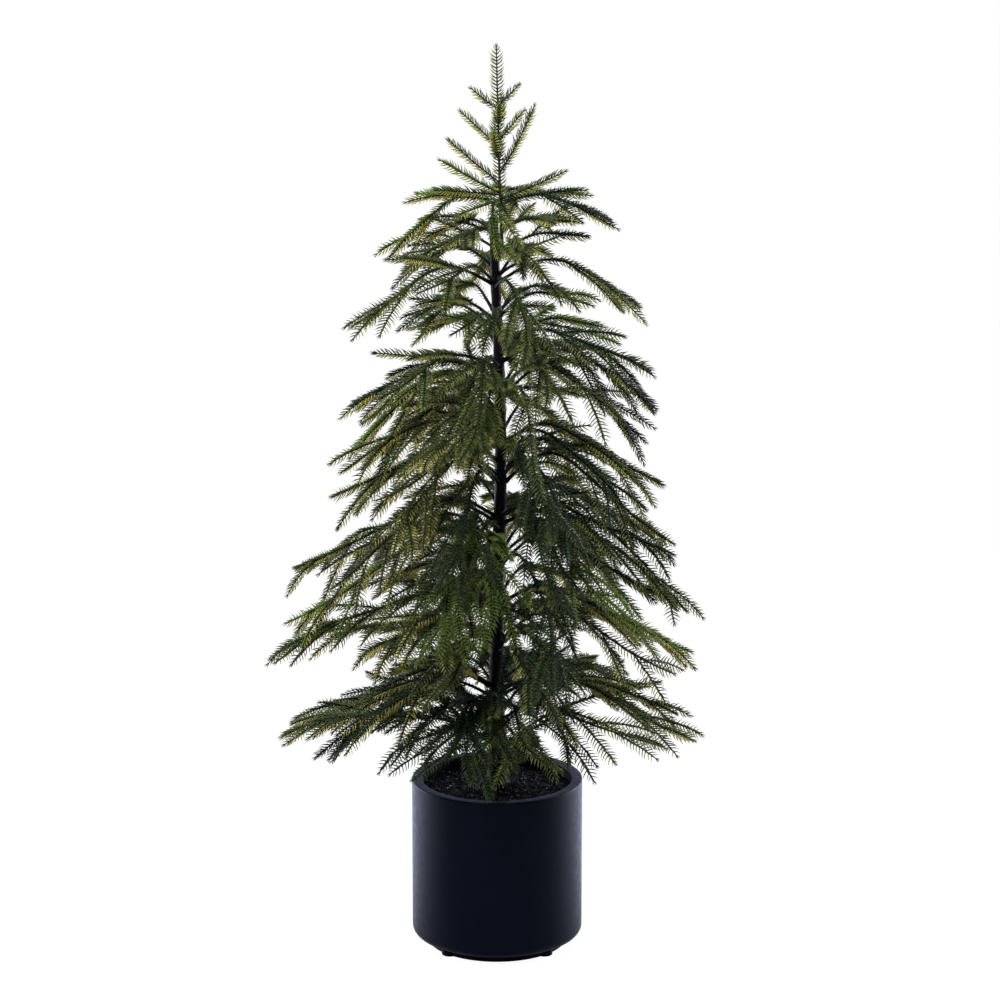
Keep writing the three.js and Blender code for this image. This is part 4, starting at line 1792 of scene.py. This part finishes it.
@dataclass
class Grit:
    """Black potting grit: an uneven bed with loose grains and fibres on it.

    Attributes:
        depth: How far the bed runs down.
        roughness: The height of its unevenness.
        grains: The number of loose grains.
        fibres: The number of loose fibres.
    """

    depth: float = 24 * MM
    roughness: float = 2.2 * MM
    grains: int = 3600
    fibres: int = 1400
    mound_radius: float = 56 * MM
    mound_height: float = 8 * MM

    def level(self, x: np.ndarray, y: np.ndarray) -> np.ndarray:
        """Give the bed's height at some places."""
        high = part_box("soil")[1].z
        away = np.hypot(x, y)
        mound = 0.5 + 0.5 * np.cos(np.pi * np.clip(away / self.mound_radius, 0.0, 1.0))
        base = high - self.mound_height + mound * self.mound_height
        rough = [
            0.6 * noise.noise(Vector((px * 90, py * 90, 3.0)))
            + 0.55 * noise.noise(Vector((px * 260, py * 260, 9.0)))
            for px, py in zip(np.ravel(x), np.ravel(y))
        ]
        return base + self.roughness * np.reshape(rough, np.shape(x))

    def bed(self, material: bpy.types.Material) -> bpy.types.Object:
        """Build the bed as one closed shape."""
        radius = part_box("soil")[1].x
        segments, rings = 150, 62
        turn = 2 * np.pi * np.arange(segments) / segments
        spokes = np.linspace(radius, radius / rings, rings)
        x = spokes[:, None] * np.cos(turn)
        y = spokes[:, None] * np.sin(turn)
        top = np.stack([x, y, self.level(x, y)], axis=-1)
        bottom_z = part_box("soil")[1].z - self.mound_height - self.depth
        under = np.stack([x[0], y[0], np.full(segments, bottom_z)], axis=-1)
        points = np.concatenate([[*under], top.reshape(-1, 3)])
        centre = np.array([[0, 0, bottom_z], [0, 0, float(self.level(np.zeros(1), np.zeros(1))[0])]])
        points = np.concatenate([points, centre])
        first = np.arange(segments)
        last = first + rings * segments
        foot = np.full(segments, len(points) - 2)
        tip = np.full(segments, len(points) - 1)
        caps = np.concatenate(
            [np.stack([foot, np.roll(first, -1), first], 1), np.stack([tip, last, np.roll(last, -1)], 1)]
        )
        gather = MeshGather()
        gather.add(points, [ring_faces(rings + 1, segments), caps])
        return dress(gather.build("grit_bed"), material, ["soil"])

    def loose(self, grit: bpy.types.Material, fibre: bpy.types.Material) -> list[bpy.types.Object]:
        """Build the loose grains and the fibres, each kind as one piece.

        Args:
            grit: The grains' material.
            fibre: The fibres' material.

        Returns:
            The two pieces.
        """
        rng = np.random.default_rng([SEED, 31])
        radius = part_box("soil")[1].x - 1.5 * MM
        count = self.grains + self.fibres
        away = radius * np.sqrt(rng.uniform(0.02, 1.0, count))
        turn = rng.uniform(0, 2 * np.pi, count)
        place = np.column_stack([away * np.cos(turn), away * np.sin(turn), np.zeros(count)])
        place[:, 2] = self.level(place[:, 0], place[:, 1])
        # A grain is an uneven double pyramid, and a fibre is the same shape drawn out.
        corners = np.array([[1, 0, 0], [0, 1, 0], [-1, 0, 0], [0, -1, 0], [0, 0, 1], [0, 0, -1]], float)
        faces = np.array(
            [[0, 1, 4], [1, 2, 4], [2, 3, 4], [3, 0, 4], [1, 0, 5], [2, 1, 5], [3, 2, 5], [0, 3, 5]]
        )
        sizes = rng.uniform(0.5, 1.5, (count, 1)) * MM * rng.uniform(0.6, 1.2, (count, 3))
        sizes[self.grains :] = np.column_stack(
            [
                rng.uniform(2.0, 5.5, self.fibres) * MM,
                rng.uniform(0.18, 0.4, self.fibres) * MM,
                rng.uniform(0.18, 0.4, self.fibres) * MM,
            ]
        )
        spin = rng.uniform(0, 2 * np.pi, count)
        pitch = rng.normal(0, 0.28, count)
        ahead = np.column_stack([np.cos(spin) * np.cos(pitch), np.sin(spin) * np.cos(pitch), np.sin(pitch)])
        across = np.column_stack([-np.sin(spin), np.cos(spin), np.zeros(count)])
        upward = np.cross(ahead, across)
        uneven = corners[None] * sizes[:, None, :] * rng.uniform(0.75, 1.25, (count, 6, 1))
        points = place[:, None, :] + (
            uneven[:, :, 0:1] * ahead[:, None]
            + uneven[:, :, 1:2] * across[:, None]
            + uneven[:, :, 2:3] * upward[:, None]
        )
        kinds = (
            ("grit_loose", points[: self.grains], grit),
            ("grit_fibres", points[self.grains :], fibre),
        )
        pieces = []
        for name, shapes, material in kinds:
            gather = MeshGather()
            offsets = np.arange(len(shapes))[:, None, None] * 6
            gather.add(shapes.reshape(-1, 3), [(faces[None] + offsets).reshape(-1, 3)])
            pieces.append(dress(gather.build(name, smooth=False), material))
        return pieces


# ---- studio --------------------------------------------------------------------------------


@dataclass(frozen=True)
class AreaLight:
    """A soft light.

    Attributes:
        name: Its name.
        place: Where it stands.
        target: What it points at.
        size: Its width and height.
        power: Its power in watts.
        colour: Its colour.
    """

    name: str
    place: tuple[float, float, float]
    target: tuple[float, float, float]
    size: tuple[float, float]
    power: float
    colour: tuple[float, float, float] = (1.0, 1.0, 1.0)

    def build(self) -> None:
        """Add the light to the scene."""
        data = bpy.data.lights.new(self.name, "AREA")
        data.shape = "RECTANGLE"
        data.size, data.size_y = self.size
        data.energy = self.power
        data.color = self.colour
        lamp = bpy.data.objects.new(self.name, data)
        lamp.location = self.place
        lamp.rotation_euler = (Vector(self.target) - lamp.location).to_track_quat("-Z", "Y").to_euler()
        bpy.context.scene.collection.objects.link(lamp)


@dataclass
class Studio:
    """The pale floor, the soft light and the camera.

    Attributes:
        camera_distance: How far the camera stands in front of the tree.
        camera_height: Its height.
        camera_side: Its sideways place.
        pitch: How far it looks down, in degrees.
        lens: Its focal length in millimetres, for a 36 mm sensor.
    """

    camera_distance: float = 4.6
    camera_height: float = 1.73
    camera_side: float = 0.0039
    pitch: float = 13.63
    lens: float = 128.6
    floor_half: float = 30.0
    front_level: float = 0.03
    back_level: float = 1.4
    lights: tuple[AreaLight, ...] = (
        AreaLight("key_front", (-0.9, -2.2, 3.4), (0, 0, 0.7), (0.7, 0.7), 106.0),
        AreaLight("rim_left", (-1.7, 1.1, 0.9), (0, 0, 0.5), (0.8, 2.0), 48.0, (0.96, 0.97, 1.0)),
        AreaLight("rim_right", (1.7, 1.1, 0.9), (0, 0, 0.5), (0.8, 2.0), 48.0, (0.96, 0.97, 1.0)),
    )

    def camera(self) -> None:
        """Set up the camera."""
        data = bpy.data.cameras.new("camera")
        data.lens = self.lens
        data.sensor_width = 36.0
        camera = bpy.data.objects.new("camera", data)
        camera.location = (self.camera_side, -self.camera_distance, self.camera_height)
        camera.rotation_euler = (math.radians(90.0 - self.pitch), 0.0, 0.0)
        bpy.context.scene.collection.objects.link(camera)
        bpy.context.scene.camera = camera

    def floor(self) -> None:
        """Lay the pale floor. Behind the tree it also glows bluish in reflections only, a painted reflection
        that brightens the pot's edges.
        """
        half = self.floor_half
        gather = MeshGather()
        corners = np.array([[-half, -half, 0], [half, -half, 0], [half, half, 0], [-half, half, 0]])
        gather.add(corners, [np.array([[0, 1, 2, 3]])])
        floor = gather.build("studio_floor", smooth=False)
        material = bpy.data.materials.new("pale_floor")
        material.use_nodes = True
        tree = material.node_tree
        tree.nodes.clear()
        output = tree.nodes.new("ShaderNodeOutputMaterial")
        paper = tree.nodes.new("ShaderNodeBsdfDiffuse")
        paper.inputs["Color"].default_value = (0.35, 0.35, 0.35, 1.0)
        glow = tree.nodes.new("ShaderNodeEmission")
        glow.inputs["Color"].default_value = (1.0, 1.0, 1.0, 1.0)
        glow.inputs["Strength"].default_value = 1.1
        rays = tree.nodes.new("ShaderNodeLightPath")
        place = tree.nodes.new("ShaderNodeTexCoord")
        split = tree.nodes.new("ShaderNodeSeparateXYZ")
        behind = tree.nodes.new("ShaderNodeMapRange")
        behind.interpolation_type = "SMOOTHSTEP"
        behind.inputs["From Min"].default_value = -0.2
        behind.inputs["From Max"].default_value = 0.5
        tree.links.new(place.outputs["Object"], split.inputs[0])
        tree.links.new(split.outputs["Y"], behind.inputs["Value"])
        # A bluish glow behind the tree that only reflections see: painted reflection on the pot's edges.
        sheen = tree.nodes.new("ShaderNodeEmission")
        sheen.inputs["Color"].default_value = (0.70, 0.76, 1.0, 1.0)
        sheen.inputs["Strength"].default_value = 3.0
        mirrored = tree.nodes.new("ShaderNodeMath")
        mirrored.operation = "MULTIPLY"
        tree.links.new(rays.outputs["Is Glossy Ray"], mirrored.inputs[0])
        tree.links.new(behind.outputs["Result"], mirrored.inputs[1])
        share = tree.nodes.new("ShaderNodeMath")
        share.operation = "MULTIPLY"
        share.inputs[1].default_value = 0.88
        tree.links.new(rays.outputs["Is Camera Ray"], share.inputs[0])
        surface = paper
        for amount, light in ((share, glow), (mirrored, sheen)):
            mixed = tree.nodes.new("ShaderNodeMixShader")
            tree.links.new(amount.outputs[0], mixed.inputs[0])
            tree.links.new(surface.outputs[0], mixed.inputs[1])
            tree.links.new(light.outputs[0], mixed.inputs[2])
            surface = mixed
        tree.links.new(surface.outputs[0], output.inputs["Surface"])
        floor.data.materials.append(material)

    def world(self) -> None:
        """Light the room: bright behind the tree, dimmer in front of it, white in view."""
        world = bpy.data.worlds.new("room")
        bpy.context.scene.world = world
        world.use_nodes = True
        tree = world.node_tree
        tree.nodes.clear()
        output = tree.nodes.new("ShaderNodeOutputWorld")
        background = tree.nodes.new("ShaderNodeBackground")
        hue = tree.nodes.new("ShaderNodeMix")
        hue.data_type = "RGBA"
        hue.inputs[6].default_value = (1.0, 1.0, 1.0, 1.0)
        hue.inputs[7].default_value = (0.66, 0.72, 1.0, 1.0)
        place = tree.nodes.new("ShaderNodeTexCoord")
        split = tree.nodes.new("ShaderNodeSeparateXYZ")
        depth = tree.nodes.new("ShaderNodeMapRange")
        depth.interpolation_type = "SMOOTHSTEP"
        depth.inputs["From Min"].default_value = -0.5
        depth.inputs["From Max"].default_value = 0.45
        depth.inputs["To Min"].default_value = self.front_level
        depth.inputs["To Max"].default_value = self.back_level
        rays = tree.nodes.new("ShaderNodeLightPath")
        muted = tree.nodes.new("ShaderNodeMath")
        muted.operation = "MULTIPLY_ADD"
        muted.inputs[1].default_value = -0.2
        muted.inputs[2].default_value = 1.0
        level = tree.nodes.new("ShaderNodeMath")
        level.operation = "MULTIPLY"
        seen = tree.nodes.new("ShaderNodeMix")
        seen.data_type = "FLOAT"
        seen.inputs[3].default_value = 1.0
        tree.links.new(place.outputs["Generated"], split.inputs[0])
        tree.links.new(split.outputs["Y"], depth.inputs["Value"])
        tree.links.new(rays.outputs["Is Glossy Ray"], muted.inputs[0])
        tree.links.new(rays.outputs["Is Glossy Ray"], hue.inputs[0])
        tree.links.new(hue.outputs[2], background.inputs["Color"])
        tree.links.new(muted.outputs[0], level.inputs[0])
        tree.links.new(depth.outputs["Result"], level.inputs[1])
        tree.links.new(rays.outputs["Is Camera Ray"], seen.inputs[0])
        tree.links.new(level.outputs[0], seen.inputs[2])
        tree.links.new(seen.outputs[0], background.inputs["Strength"])
        tree.links.new(background.outputs[0], output.inputs["Surface"])

    def build(self) -> None:
        """Set up the whole studio."""
        self.camera()
        self.floor()
        self.world()
        for light in self.lights:
            light.build()
        bpy.context.scene.view_settings.view_transform = "Standard"


# ---- main ----------------------------------------------------------------------------------


def main() -> None:
    """Build the tree, its pot and the studio."""
    logging.basicConfig(level=logging.INFO, format="%(message)s")
    Studio().build()
    stock = ShaderStock()
    reader = FrameReader()
    bark = BARK_FINISH.material(stock)
    grit = GRIT_FINISH.material(stock)
    Pot().build(POT_FINISH.material(stock))
    soil = Grit()
    soil.bed(grit)
    soil.loose(grit, FIBRE_FINISH.material(stock))
    Trunk(reader).build(bark)
    crown = Crown(reader)
    sprays = crown.grow()
    boughs = [axis for spray in sprays if spray.whorl > 1 for axis in spray.axes]
    limbs = [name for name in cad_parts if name.startswith("bough_")]
    LimbFeet(reader).build(boughs, bark, sorted(limbs))
    shoots = Leader(reader).grow()
    for spray in sprays:
        shoots += spray.axes + spray.sprigs
    builder = FoliageBuilder(crown.needles)
    stems = builder.stems(shoots, "stems", TWIG_FINISH.material(stock))
    masses = [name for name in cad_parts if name.startswith(("foliage_", "leader_"))]
    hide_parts(*sorted(masses))
    materials = {finish.tone: finish.material() for finish in NEEDLE_FINISHES}
    builder.needle_pieces(shoots, materials)
    LOG.info("%d boughs below the top whorl, %d shoots", len(boughs), len(shoots))
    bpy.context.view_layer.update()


if __name__ == "__main__":
    main()
